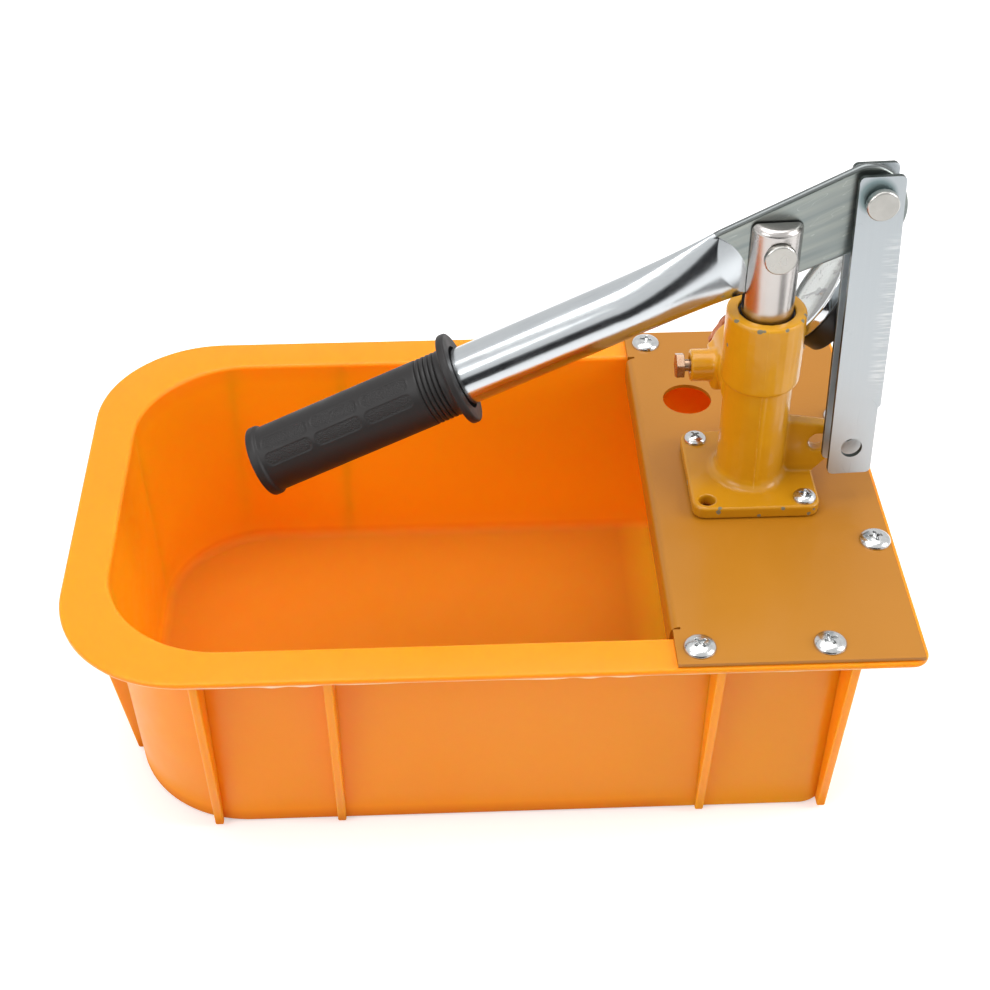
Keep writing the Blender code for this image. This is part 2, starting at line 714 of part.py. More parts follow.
def cover_lip(front, back):
    """The bend and the lip between two stations, open where they meet the flat."""
    outer = COVER_BEND_RADIUS + COVER_THICKNESS
    center = (COVER_LEFT + outer, COVER_BOTTOM - COVER_BEND_RADIUS)
    foot = COVER_TOP - COVER_LIP_DEPTH
    path = arc(center, outer, QUARTER_TURN, HALF_TURN, FILLET_STEPS + 1)
    path[0] = (center[0], COVER_TOP)
    inside = arc(center, COVER_BEND_RADIUS, HALF_TURN, QUARTER_TURN, FILLET_STEPS + 1)
    inside[-1] = (center[0], COVER_BOTTOM)
    path += [(COVER_LEFT, foot), (COVER_LEFT + COVER_THICKNESS, foot)] + inside
    faces = [[(x1, front, z1), (x1, back, z1), (x2, back, z2), (x2, front, z2)]
             for (x1, z1), (x2, z2) in zip(path, path[1:])]
    faces.append([(x, front, z) for x, z in path])
    faces.append([(x, back, z) for x, z in reversed(path)])
    return faces


def cover_sheet():
    """The folded sheet as one closed mesh, before its holes are drilled."""
    lip_end = COVER_LIP_WIDTH / 2
    side = COVER_WIDTH / 2
    notch = lip_end + COVER_NOTCH_WIDTH
    faces = cover_cells((-side, -notch, -lip_end, lip_end, notch, side))
    faces += cover_lip(-lip_end, lip_end)
    shell = bmesh.new()
    for face in faces:
        shell.faces.new([shell.verts.new(point) for point in face])
    bmesh.ops.remove_doubles(shell, verts=shell.verts, dist=COVER_NOTCH_WIDTH * WELD_SHARE)
    bmesh.ops.recalc_face_normals(shell, faces=shell.faces)
    mesh = bpy.data.meshes.new("cover_plate")
    shell.to_mesh(mesh)
    shell.free()
    sheet = bpy.data.objects.new("cover_plate", mesh)
    PIECES.objects.link(sheet)
    return sheet


def make_cover():
    """The folded cover sheet with its filling hole and screw holes."""
    cover = cover_sheet()
    cover.data.materials.append(material_cover())
    top = COVER_TOP + CUT_OVERRUN
    bottom = COVER_BOTTOM - CUT_OVERRUN
    drill(cover, "fill", COVER_FILL_HOLE, [(TANK_LENGTH / 2 - COVER_FILL_HOLE_FROM_END, COVER_FILL_HOLE_Y)],
          top, bottom, LARGE_ROUND)
    drill(cover, "suction", SEAT_THREAD + 2 * PART_RUN, [(PUMP_X, 0)], top, bottom, MEDIUM_ROUND)
    drill(cover, "screw", COVER_SCREW + COVER_SCREW_CLEARANCE, cover_screw_places(), top, bottom)
    drill(cover, "bolt", CASTING_SCREW + CASTING_SCREW_CLEARANCE,
          casting_screw_places(CASTING_SCREW_CORNERS + (CASTING_OPEN_CORNER,)), top, bottom)
    return cover


def screw_profile(shank, head, head_height, length):
    """A round-headed screw from the middle of its head down, seated at zero."""
    rise = head_height - SEAT_GAP
    crown = [(head / 2 * math.cos(t), SEAT_GAP + rise * math.sin(t))
             for t in (QUARTER_TURN * share for share in SCREW_CROWN_SHARES)]
    return crown + [(head / 2, SEAT_GAP), (shank / 2, SEAT_GAP), (shank / 2, -length), (0, -length)]


def cross_cut(screw, width, top):
    """Cut the cross recess into a screw's head."""
    slot = width * CROSS_SLOT_SHARE
    deep = width * CROSS_DEPTH_SHARE
    for number, size in enumerate(((width, slot, 2 * deep), (slot, width, 2 * deep)), 1):
        cut(screw, box(f"{screw.name}_cross_{number}", size, (0, 0, top)))
    return settle(screw)


def scatter(name, piece, places, height):
    """Repeat a piece at each place, each one its own object, turned a little."""
    mesh = piece.data
    bpy.data.objects.remove(piece)
    for number, (x, y) in enumerate(places, 1):
        copy = add_object(f"{name}_{number}", mesh, PIECES.objects)
        place(copy, (x, y, height), (0, 0, number * SCREW_TURN))


def make_cover_fixings():
    """Screws through cover and rim, and their nuts."""
    stack = COVER_TOP - (TANK_HEIGHT - RIM_THICKNESS)
    length = stack + SEAT_GAP + COVER_NUT_HEIGHT + COVER_SCREW_TAIL
    profile = screw_profile(COVER_SCREW, COVER_SCREW_HEAD, COVER_SCREW_HEAD_HEIGHT, length)
    screw = cross_cut(turned("cover_screw_pattern", profile, SMALL_ROUND), COVER_SCREW_RECESS,
                      COVER_SCREW_HEAD_HEIGHT)
    screw.data.materials.append(material_plated_steel())
    scatter("cover_screw", screw, cover_screw_places(), COVER_TOP)
    hole = circle((0, 0), COVER_SCREW + PART_RUN, SMALL_ROUND)
    nut = plate("cover_nut_pattern", [hexagon(COVER_NUT_WIDTH), hole], COVER_NUT_HEIGHT)
    nut.data.materials.append(material_plated_steel())
    scatter("cover_nut", nut, cover_screw_places(),
            TANK_HEIGHT - RIM_THICKNESS - SEAT_GAP - COVER_NUT_HEIGHT / 2)


def make_casting_fixings():
    """The three screws left in the casting's flange, and their nuts."""
    places = casting_screw_places(CASTING_SCREW_CORNERS)
    stack = FLANGE_TOP - COVER_BOTTOM
    length = stack + SEAT_GAP + CASTING_NUT_HEIGHT + CASTING_SCREW_TAIL
    profile = screw_profile(CASTING_SCREW, CASTING_SCREW_HEAD, CASTING_SCREW_HEAD_HEIGHT, length)
    screw = cross_cut(turned("casting_screw_pattern", profile, SMALL_ROUND), CASTING_SCREW_RECESS,
                      CASTING_SCREW_HEAD_HEIGHT)
    screw.data.materials.append(material_plated_steel())
    scatter("casting_screw", screw, places, FLANGE_TOP)
    hole = circle((0, 0), CASTING_SCREW + PART_RUN, SMALL_ROUND)
    nut = plate("casting_nut_pattern", [hexagon(CASTING_NUT_WIDTH), hole], CASTING_NUT_HEIGHT)
    nut.data.materials.append(material_plated_steel())
    scatter("casting_nut", nut, places, COVER_BOTTOM - SEAT_GAP - CASTING_NUT_HEIGHT / 2)


def barrel_profile():
    """The casting's barrel: collar, shoulder, tube and the fillet at its foot."""
    collar = COLLAR_DIAMETER / 2
    tube = TUBE_DIAMETER / 2
    collar_foot = CASTING_TOP - COLLAR_HEIGHT
    profile = [(0, CASTING_TOP)]
    profile += reversed(arc((collar - COLLAR_EDGE_RADIUS, CASTING_TOP - COLLAR_EDGE_RADIUS),
                            COLLAR_EDGE_RADIUS, 0, QUARTER_TURN, 2))
    profile.append((collar, collar_foot))
    profile.append((tube, collar_foot - COLLAR_SHOULDER))
    foot = (tube + TUBE_FOOT_RADIUS, FLANGE_TOP + TUBE_FOOT_RADIUS - JOIN_STEP)
    profile += arc(foot, TUBE_FOOT_RADIUS, HALF_TURN, 3 * QUARTER_TURN, FILLET_STEPS + 1)
    profile.append((tube + TUBE_FOOT_RADIUS, FLANGE_TOP - JOIN_SINK))
    profile.append((0, FLANGE_TOP - JOIN_SINK))
    return profile


def lug_outline():
    """The link lug from its side, in X and Z from the pump's axis and the casting's foot."""
    root = TUBE_DIAMETER / 2 - JOIN_SINK
    hole = (LUG_HOLE_OUT, LUG_HOLE_RISE)
    up = math.atan2(LUG_HOLE_OUT - root, LUG_ROOT_RISE - LUG_HOLE_RISE - LUG_RADIUS)
    foot = (LUG_FOOT_OUT, FLANGE_HEIGHT - JOIN_SINK)
    toward_foot = math.atan2(foot[1] - hole[1], foot[0] - hole[0])
    reach = math.dist(foot, hole)
    down = toward_foot + math.acos(LUG_RADIUS / reach)
    outline = [(root, foot[1]), foot]
    outline += arc(hole, LUG_RADIUS, down, up, 2 * CORNER_STEPS)
    outline.append((root, LUG_ROOT_RISE))
    return outline


def join_lug(casting):
    """The lug for the lower ends of the links."""
    lug = plate("casting_lug", [lug_outline(), circle((LUG_HOLE_OUT, LUG_HOLE_RISE), LUG_HOLE)],
                LUG_THICKNESS, CUTTERS)
    lug.data.transform(Matrix.Rotation(QUARTER_TURN, 4, "X"))
    join(casting, place(lug, (PUMP_X, LUG_OFFSET, CASTING_BOTTOM)))


def join_ridge(casting):
    """The parting ridge down the front of the tube."""
    top = CASTING_TOP - COLLAR_HEIGHT - COLLAR_SHOULDER - JOIN_SINK
    bottom = FLANGE_TOP + TUBE_FOOT_RADIUS
    front = TUBE_DIAMETER / 2 + PARTING_RIDGE_PROUD
    back = TUBE_DIAMETER / 2 - JOIN_SINK
    ridge = box("casting_ridge", (PARTING_RIDGE_WIDTH, front - back, top - bottom),
                (PUMP_X, -(front + back) / 2, (top + bottom) / 2))
    join(casting, ridge)


def join_valve_body(casting):
    """The round outlet boss, the block at its left and the release screw's boss."""
    boss = rod("casting_boss", 2 * BOSS_RADIUS, BOSS_END, 0, LARGE_ROUND)
    join(casting, place(boss, (BOSS_X, 0, BOSS_Z), (-QUARTER_TURN, 0, 0)))
    block = box("casting_block", (BLOCK_LENGTH, BLOCK_WIDTH, BLOCK_HEIGHT),
                (BOSS_X - BLOCK_LENGTH / 2, BOSS_END - SEAT_GAP - BLOCK_WIDTH / 2,
                 CASTING_BOTTOM + BLOCK_TOP_RISE - BLOCK_HEIGHT / 2))
    bevel_edges(block, BLOCK_CHAMFER, 1)
    join(casting, block)
    screw_boss = rod("casting_release_boss", RELEASE_BOSS_DIAMETER, RELEASE_BOSS_LENGTH,
                     -BLOCK_CHAMFER)
    join(casting, place(screw_boss, (BLOCK_LEFT, RELEASE_Y, RELEASE_Z), (0, -QUARTER_TURN, 0)))


def gauge_boss_profile():
    """The slanting gauge boss: a flat top and a round lower end."""
    radius = GAUGE_BOSS_DIAMETER / 2
    profile = [(0, GAUGE_SPOT_DEPTH), (radius, GAUGE_SPOT_DEPTH)]
    profile += arc((0, -GAUGE_BOSS_LENGTH), radius, 0, -QUARTER_TURN, 2 * FILLET_STEPS)
    profile[-1] = (0, -GAUGE_BOSS_LENGTH - radius)
    return profile


def cut_bores(casting):
    """The bores of the barrel, its seal grooves and the suction seat's thread."""
    bore = BORE_DIAMETER / 2
    wiper = WIPER_DIAMETER / 2
    wiper_top = CASTING_TOP - WIPER_DEPTH
    wiper_floor = wiper_top - WIPER_HEIGHT
    mouth = MOUTH_DIAMETER / 2
    seal = SEAL_DIAMETER / 2
    seal_top = CASTING_TOP - SEAL_DEPTH
    seat = SEAT_THREAD / 2 + PART_RUN / 2
    profile = [(0, CASTING_TOP + CUT_OVERRUN), (mouth, CASTING_TOP + CUT_OVERRUN),
               (mouth, wiper_top), (wiper, wiper_top), (wiper, wiper_floor),
               (bore, wiper_floor), (bore, seal_top), (seal, seal_top),
               (seal, seal_top - SEAL_HEIGHT), (bore, seal_top - SEAL_HEIGHT),
               (bore, BORE_FLOOR), (seat, BORE_FLOOR), (seat, CASTING_BOTTOM - CUT_OVERRUN),
               (0, CASTING_BOTTOM - CUT_OVERRUN)]
    cutter = turned("casting_bore", profile, LARGE_ROUND, CUTTERS)
    cut(casting, place(cutter, (PUMP_X, 0, 0)))


def cut_passages(casting):
    """The water's way from the barrel to the outlet, the release screw and the gauge."""
    spigot = NIPPLE_SPIGOT_DIAMETER / 2 + PART_RUN / 2
    way = PASSAGE_DIAMETER / 2
    spigot_floor = BOSS_END - NIPPLE_SPIGOT_LENGTH - SEAT_GAP
    profile = [(0, BOSS_END + CUT_OVERRUN), (spigot, BOSS_END + CUT_OVERRUN),
               (spigot, spigot_floor), (way, spigot_floor), (way, 0), (0, 0)]
    outlet = turned("casting_outlet_bore", profile, MEDIUM_ROUND, CUTTERS)
    cut(casting, place(outlet, (BOSS_X, 0, BOSS_Z), (-QUARTER_TURN, 0, 0)))
    shank = RELEASE_SHANK_DIAMETER / 2 + PART_RUN / 2
    port = PORT_DIAMETER / 2
    depth = RELEASE_SHANK_LENGTH + SEAT_GAP
    way_end = RELEASE_FACE - BOSS_X + port / 2
    profile = [(0, CUT_OVERRUN), (shank, CUT_OVERRUN), (shank, -depth),
               (port, -depth - RELEASE_POINT_LENGTH), (port, way_end), (0, way_end)]
    release = turned("casting_release_bore", profile, SMALL_ROUND, CUTTERS)
    cut(casting, place(release, (RELEASE_FACE, RELEASE_Y, RELEASE_Z), (0, -QUARTER_TURN, 0)))


def cut_gauge_bore(casting, mount):
    """The gauge's spot face, the threaded hole for its stem and the drilling that feeds it."""
    spot = rod("casting_gauge_spot", GAUGE_BOSS_DIAMETER + GAUGE_SPOT_BEYOND,
               GAUGE_STEM_HEX_LENGTH, 0)
    cut(casting, place(spot, rotation=(-QUARTER_TURN, 0, 0), parent=mount))
    depth = GAUGE_STEM_THREAD_LENGTH + SEAT_GAP
    bore = rod("casting_gauge_bore", GAUGE_STEM_THREAD + PART_RUN, CUT_OVERRUN, -depth)
    cut(casting, place(bore, rotation=(-QUARTER_TURN, 0, 0), parent=mount))
    start = GAUGE_FOOT - (depth - PORT_DIAMETER) * GAUGE_AXIS
    feed = rod_between("casting_gauge_feed", PORT_DIAMETER, start,
                       Vector((BOSS_X, GAUGE_BOSS_TOP_Y, BOSS_Z)))
    cut(casting, feed)


def make_casting(mount):
    """The pump's casting: flange, barrel, lug and valve body in one piece."""
    half = FLANGE_LENGTH / 2
    outline = rounded_outline(-half, half, FLANGE_WIDTH / 2, FLANGE_CORNER_RADIUS,
                              FLANGE_CORNER_RADIUS, FILLET_STEPS + 1)
    casting = plate("pump_casting", [outline], FLANGE_HEIGHT)
    casting.data.materials.append(material_casting())
    place(casting, (PUMP_X, 0, CASTING_BOTTOM + FLANGE_HEIGHT / 2))
    bevel_edges(casting, FLANGE_EDGE_RADIUS)
    barrel = turned("casting_barrel", barrel_profile(), LARGE_ROUND, CUTTERS)
    join(casting, place(barrel, (PUMP_X, 0, 0)))
    join_lug(casting)
    join_ridge(casting)
    join_valve_body(casting)
    gauge_boss = turned("casting_gauge_boss", gauge_boss_profile(), MEDIUM_ROUND, CUTTERS)
    join(casting, place(gauge_boss, rotation=(-QUARTER_TURN, 0, 0), parent=mount))
    cut_bores(casting)
    cut_passages(casting)
    cut_gauge_bore(casting, mount)
    top = FLANGE_TOP + CUT_OVERRUN
    bottom = CASTING_BOTTOM - CUT_OVERRUN
    drill(casting, "bolt", CASTING_SCREW + CASTING_SCREW_CLEARANCE,
          casting_screw_places(CASTING_SCREW_CORNERS), top, bottom)
    drill(casting, "open", CASTING_OPEN_HOLE, casting_screw_places((CASTING_OPEN_CORNER,)), top,
          bottom)
    return casting


def make_plunger():
    """The plunger with the fork that takes the lever's blade, its origin on the pin."""
    radius = PLUNGER_DIAMETER / 2
    bottom = PLUNGER_BOTTOM - PIN_HEIGHT
    rise = PLUNGER_TOP_RISE - PLUNGER_PIN_RISE
    profile = [(0, rise), (radius - PLUNGER_CHAMFER, rise), (radius, rise - PLUNGER_CHAMFER),
               (radius, bottom + PLUNGER_CHAMFER), (radius - PLUNGER_CHAMFER, bottom), (0, bottom)]
    plunger = turned("plunger", profile, LARGE_ROUND)
    plunger.data.materials.append(material_polished_steel())
    place(plunger, LEVER_PIN, (0, 0, LEVER_YAW))
    slot_tall = SLOT_DEPTH + CUT_OVERRUN
    slot = box("plunger_slot", (PLUNGER_DIAMETER + 2 * CUT_OVERRUN, SLOT_WIDTH, slot_tall),
               (0, 0, rise + CUT_OVERRUN - slot_tall / 2))
    cut(plunger, place(slot, parent=plunger))
    reach = radius + CUT_OVERRUN
    hole = rod("plunger_hole", PIN_HOLE, reach, -reach)
    cut(plunger, place(hole, rotation=(QUARTER_TURN, 0, 0), parent=plunger))
    spot = rod("plunger_spot", PIN_SPOT_DIAMETER, reach, radius - PIN_SPOT_DEPTH)
    cut(plunger, place(spot, rotation=(QUARTER_TURN, 0, 0), parent=plunger))
    return plunger


def make_ring(name, height, outer, inner, top, material):
    """A soft ring round the plunger, in its groove."""
    profile = [(outer / 2, top), (outer / 2, top - height), (inner / 2, top - height),
               (inner / 2, top)]
    ring = turned(name, profile, LARGE_ROUND)
    ring.data.materials.append(material)
    return place(ring, (PUMP_X, 0, 0))


def make_seals():
    """The wiper and the seal, each in its groove below the casting's mouth."""
    inner = PLUNGER_DIAMETER + PART_RUN
    make_ring("wiper_ring", WIPER_HEIGHT - 2 * SEAT_GAP, WIPER_DIAMETER - PART_RUN, inner,
              CASTING_TOP - WIPER_DEPTH - SEAT_GAP, material_rubber())
    make_ring("plunger_seal", SEAL_HEIGHT - 2 * SEAT_GAP, SEAL_DIAMETER - PART_RUN, inner,
              CASTING_TOP - SEAL_DEPTH - SEAT_GAP, material_rubber())


def pin_profile(head_height, seat, clip_seat):
    """A headed pin along Z: its head's seat above zero, its clip's groove below."""
    head = PIN_HEAD_DIAMETER / 2
    shank = PIN_DIAMETER / 2
    waist = shank - CLIP_GROOVE_DEPTH
    groove_top = -clip_seat
    groove_foot = groove_top - CLIP_THICKNESS - 2 * SEAT_GAP
    tail = groove_foot - PIN_TAIL
    face = seat + SEAT_GAP
    return [(0, face + head_height), (head - PIN_HEAD_EDGE, face + head_height),
            (head, face + head_height - PIN_HEAD_EDGE), (head, face), (shank, face),
            (shank, groove_top), (waist, groove_top), (waist, groove_foot), (shank, groove_foot),
            (shank, tail + PIN_HEAD_EDGE), (shank - PIN_HEAD_EDGE, tail), (0, tail)]


def clip_outline():
    """A spring clip: an open ring whose mouth slips over the pin's groove."""
    inner = PIN_DIAMETER / 2 - CLIP_GROOVE_DEPTH + SEAT_GAP
    outer = CLIP_DIAMETER / 2
    half_mouth = math.asin(CLIP_MOUTH / 2 / outer)
    half_throat = math.asin(CLIP_MOUTH / 2 / inner)
    start = -QUARTER_TURN + half_mouth
    end = 3 * QUARTER_TURN - half_mouth
    outline = arc((0, 0), outer, start, end, MEDIUM_ROUND)
    inner_start = 3 * QUARTER_TURN - half_throat
    inner_end = -QUARTER_TURN + half_throat
    return outline + arc((0, 0), inner, inner_start, inner_end, SMALL_ROUND)


def make_pin(name, at, head_height, seat, clip_seat):
    """A pin across the fork or the links, and the clip that keeps it in."""
    pin = turned(name, pin_profile(head_height, seat, clip_seat), MEDIUM_ROUND)
    pin.data.materials.append(material_plated_steel())
    place(pin, at, (QUARTER_TURN, 0, LEVER_YAW))
    clip = plate(f"{name}_clip", [clip_outline()], CLIP_THICKNESS)
    clip.data.transform(Matrix.Rotation(QUARTER_TURN, 4, "X"))
    clip.data.materials.append(material_spring_steel())
    aside = Vector((0, clip_seat + SEAT_GAP + CLIP_THICKNESS / 2, 0))
    place(clip, at + TURN @ aside, (0, 0, LEVER_YAW))


def pressed(station):
    """Half thickness and half height of the lever's tube at a station along it."""
    length = LEVER_PRESS_START - LEVER_PRESS_END
    share = min(max((station + LEVER_PRESS_START) / length, 0), 1) ** LEVER_PRESS_SHARE
    radius = LEVER_TUBE_DIAMETER / 2
    thick = radius - (radius - BLADE_HALF) * share
    flare = max(station + LEVER_PRESS_END, 0) / (BLADE_END + LEVER_PRESS_END)
    blade = (LEVER_BLADE_ROOT_HEIGHT * (1 - flare) + LEVER_BLADE_END_HEIGHT * flare) / 2
    tall = radius + (blade - radius) * share
    if station > BLADE_END:
        past = min((station - BLADE_END) / LEVER_END_ROUND, 1)
        tall = LEVER_BLADE_END_HEIGHT / 2 * math.sqrt(1 - past ** 2)
    return thick, tall


def lever_ring(station, inset):
    """The lever's section at a station: round, or an oval that the blade cuts off."""
    thick, tall = pressed(station)
    thick -= inset
    tall -= inset
    ring = []
    for at in range(LEVER_ROUND):
        turn = FULL_TURN * at / LEVER_ROUND
        up = tall * math.cos(turn)
        side = thick * abs(math.sin(turn))
        if not inset:
            over = max(abs(up) - (tall - BLADE_HALF), 0)
            side = max(side, math.sqrt(max(BLADE_HALF ** 2 - over ** 2, 0)))
            side = side if 0 < at % (LEVER_ROUND // 2) else 0
        ring.append((station, math.copysign(side, math.sin(turn)), up))
    return ring


def lever_stations():
    """Stations from the blade's round end to where the tube is still round."""
    turns = [QUARTER_TURN * (1 - (at + END_FIRST_SHARE) / LEVER_END_STEPS)
             for at in range(LEVER_END_STEPS)]
    stations = [BLADE_END + LEVER_END_ROUND * math.sin(turn) for turn in turns]
    stations.append(BLADE_END)
    span = LEVER_PRESS_START - LEVER_PRESS_END
    for at in range(LEVER_PRESS_STEPS + 1):
        stations.append(-LEVER_PRESS_END - span * at / LEVER_PRESS_STEPS)
    return stations


def make_lever():
    """The lever's tube with its pressed blade and two pin holes, its origin on the pin."""
    stations = lever_stations()
    rings = [lever_ring(station, 0) for station in stations]
    rings.append(lever_ring(-LEVER_HANDLE_LENGTH, 0))
    rings.append(lever_ring(-LEVER_HANDLE_LENGTH, LEVER_WALL))
    inner = [station for station in stations if station < -LEVER_CAVITY_END]
    rings += [lever_ring(station, LEVER_WALL) for station in reversed(inner)]
    lever = loft("lever", rings)
    lever.data.materials.append(material_plated_steel())
    place(lever, LEVER_PIN, (-LEVER_ROLL, -LEVER_ANGLE, LEVER_YAW))
    reach = BLADE_HALF + CUT_OVERRUN
    places = ((0, 0, 0), (LEVER_PIN_SPACING, 0, LEVER_PIN_OFFSET))
    for number, at in enumerate(places, 1):
        hole = rod(f"lever_hole_{number}", PIN_HOLE, reach, -reach)
        cut(lever, place(hole, at, (QUARTER_TURN, 0, 0), lever))
    return lever


def grip_profile():
    """The rubber sleeve: closed end, ring grooves, hand stop, mouth and bore."""
    end = GRIP_END_DIAMETER / 2
    body = GRIP_DIAMETER / 2
    stop = GRIP_STOP_DIAMETER / 2
    bore = LEVER_TUBE_DIAMETER / 2 + RUN_GAP
    edge = GRIP_EDGE_RADIUS
    profile = [(0, GRIP_LENGTH)]
    profile += reversed(arc((end - edge, GRIP_LENGTH - edge), edge, 0, QUARTER_TURN, 2))
    foot = GRIP_LENGTH - GRIP_END_LENGTH
    profile += [(end, foot), (body, foot - edge)]
    for number in range(GRIP_GROOVE_COUNT):
        groove = GRIP_GROOVE_RISE - number * GRIP_GROOVE_PITCH
        profile += [(body, groove), (body - GRIP_GROOVE_DEPTH, groove - GRIP_GROOVE_WIDTH / 2),
                    (body, groove - GRIP_GROOVE_WIDTH)]
    center = (body + GRIP_STOP_FILLET, GRIP_STOP_LENGTH + GRIP_STOP_FILLET)
    profile += arc(center, GRIP_STOP_FILLET, HALF_TURN, 3 * QUARTER_TURN, FILLET_STEPS)
    profile += reversed(arc((stop - edge, GRIP_STOP_LENGTH - edge), edge, 0, QUARTER_TURN, 2))
    profile += reversed(arc((stop - edge, edge), edge, -QUARTER_TURN, 0, 2))
    mouth = GRIP_MOUTH_DIAMETER / 2
    profile += [(mouth, 0), (mouth, GRIP_MOUTH_DEPTH), (bore, GRIP_MOUTH_DEPTH)]
    profile += [(bore, GRIP_LENGTH - GRIP_END_WALL), (0, GRIP_LENGTH - GRIP_END_WALL)]
    return profile


def make_grip(lever):
    """The grip, pushed over the lever's open end."""
    grip = turned("lever_grip", grip_profile(), MEDIUM_ROUND)
    grip.data.materials.append(material_rubber())
    mouth = LEVER_HANDLE_LENGTH + SEAT_GAP + GRIP_END_WALL - GRIP_LENGTH
    return place(grip, (-mouth, 0, 0), (0, -QUARTER_TURN, 0), lever)


def link_outline():
    """A link's outline in X and Z from its upper hole, with a step where its shearing ended."""
    left = -LINK_WIDTH / 2
    right = LINK_WIDTH / 2
    wide = right + LINK_SHEAR_STEP
    radius = LINK_CORNER_RADIUS
    top = LINK_TOP_END
    foot = -LINK_HOLE_SPACING - LINK_FOOT_END
    shear_top = -LINK_HOLE_SPACING * LINK_SHEAR_TOP_SHARE
    shear_foot = -LINK_HOLE_SPACING * LINK_SHEAR_FOOT_SHARE
    outline = arc((right - radius, top - radius), radius, 0, QUARTER_TURN, FILLET_STEPS + 1)
    outline += arc((left + radius, top - radius), radius, QUARTER_TURN, HALF_TURN,
                   FILLET_STEPS + 1)
    outline += arc((left + radius, foot + radius), radius, HALF_TURN, 3 * QUARTER_TURN,
                   FILLET_STEPS + 1)
    outline += arc((right - radius, foot + radius), radius, 3 * QUARTER_TURN, FULL_TURN,
                   FILLET_STEPS + 1)
    outline += [(right, shear_foot - LINK_SHEAR_STEP), (wide, shear_foot), (wide, shear_top)]
    return outline


def make_links():
    """Two flat links hanging from the lever's end, leaning forward past the casting's lug."""
    holes = [circle((0, 0), PIN_HOLE), circle((0, -LINK_HOLE_SPACING), PIN_HOLE)]
    for name, side in (("front_link", -1), ("back_link", 1)):
        link = plate(name, [link_outline()] + holes, LINK_THICKNESS)
        link.data.transform(Matrix.Rotation(QUARTER_TURN, 4, "X"))
        aside = side * (LINK_GAP + LINK_THICKNESS) / 2
        link.data.transform(Matrix.Translation((0, aside, aside * math.tan(LINK_LEAN))))
        link.data.materials.append(material_zinc())
        place(link, LINK_PIN, (-LINK_LEAN, 0, LEVER_YAW))


def make_nipple():
    """The outlet nipple: spigot in the boss, hexagon and male end with a through bore."""
    spigot = NIPPLE_SPIGOT_DIAMETER / 2
    male = NIPPLE_THREAD_DIAMETER / 2
    bore = NIPPLE_BORE / 2
    end = NIPPLE_HEX_LENGTH + NIPPLE_THREAD_LENGTH
    profile = [(bore, end), (male - NIPPLE_EDGE, end), (male, end - NIPPLE_EDGE), (male, 0),
               (spigot, 0), (spigot, -NIPPLE_SPIGOT_LENGTH), (bore, -NIPPLE_SPIGOT_LENGTH)]
    nipple = turned("outlet_nipple", profile, MEDIUM_ROUND)
    hex_part = plate("outlet_hexagon", [hexagon(NIPPLE_HEX_WIDTH),
                                        circle((0, 0), NIPPLE_THREAD_DIAMETER - 2 * JOIN_SINK)],
                     NIPPLE_HEX_LENGTH, CUTTERS)
    join(nipple, place(hex_part, (0, 0, NIPPLE_HEX_LENGTH / 2), parent=nipple))
    nipple.data.materials.append(material_brass())
    return place(nipple, (BOSS_X, BOSS_END + SEAT_GAP, BOSS_Z), (-QUARTER_TURN, 0, 0))


def make_release_screw():
    """The release screw: hexagon head, neck, shank and point, its origin on its axis."""
    neck = RELEASE_SHANK_DIAMETER / 2
    point = RELEASE_POINT_DIAMETER / 2
    profile = [(0, RELEASE_NECK_LENGTH + JOIN_SINK), (neck, RELEASE_NECK_LENGTH + JOIN_SINK),
               (neck, -RELEASE_SHANK_LENGTH),
               (point, -RELEASE_SHANK_LENGTH - RELEASE_POINT_LENGTH + SEAT_GAP),
               (0, -RELEASE_SHANK_LENGTH - RELEASE_POINT_LENGTH + SEAT_GAP)]
    screw = turned("release_screw", profile, SMALL_ROUND)
    head = plate("release_hexagon", [hexagon(RELEASE_HEX_WIDTH)], RELEASE_HEX_LENGTH, CUTTERS)
    join(screw, place(head, (0, 0, RELEASE_NECK_LENGTH + RELEASE_HEX_LENGTH / 2), parent=screw))
    screw.data.materials.append(material_brass())
    return place(screw, (RELEASE_FACE, RELEASE_Y, RELEASE_Z), (0, -QUARTER_TURN, 0))


def make_gauge_mount():
    """An empty at the gauge boss's top: Y up the stem, Z out of the gauge's face."""
    mount = bpy.data.objects.new("gauge_mount", None)
    PIECES.objects.link(mount)
    level = Vector((-math.cos(GAUGE_SLANT), 0, math.sin(GAUGE_SLANT)))
    face = level * math.cos(GAUGE_TURN) + Vector((0, math.sin(GAUGE_TURN), 0))
    across = GAUGE_AXIS.cross(face)
    turn = Matrix((across, GAUGE_AXIS, face)).transposed()
    return place(mount, GAUGE_FOOT, turn.to_euler())


def own_piece(tool):
    """Bring an object made as a tool into the collection of pieces."""
    CUTTERS.objects.unlink(tool)
    PIECES.objects.link(tool)
    return tool


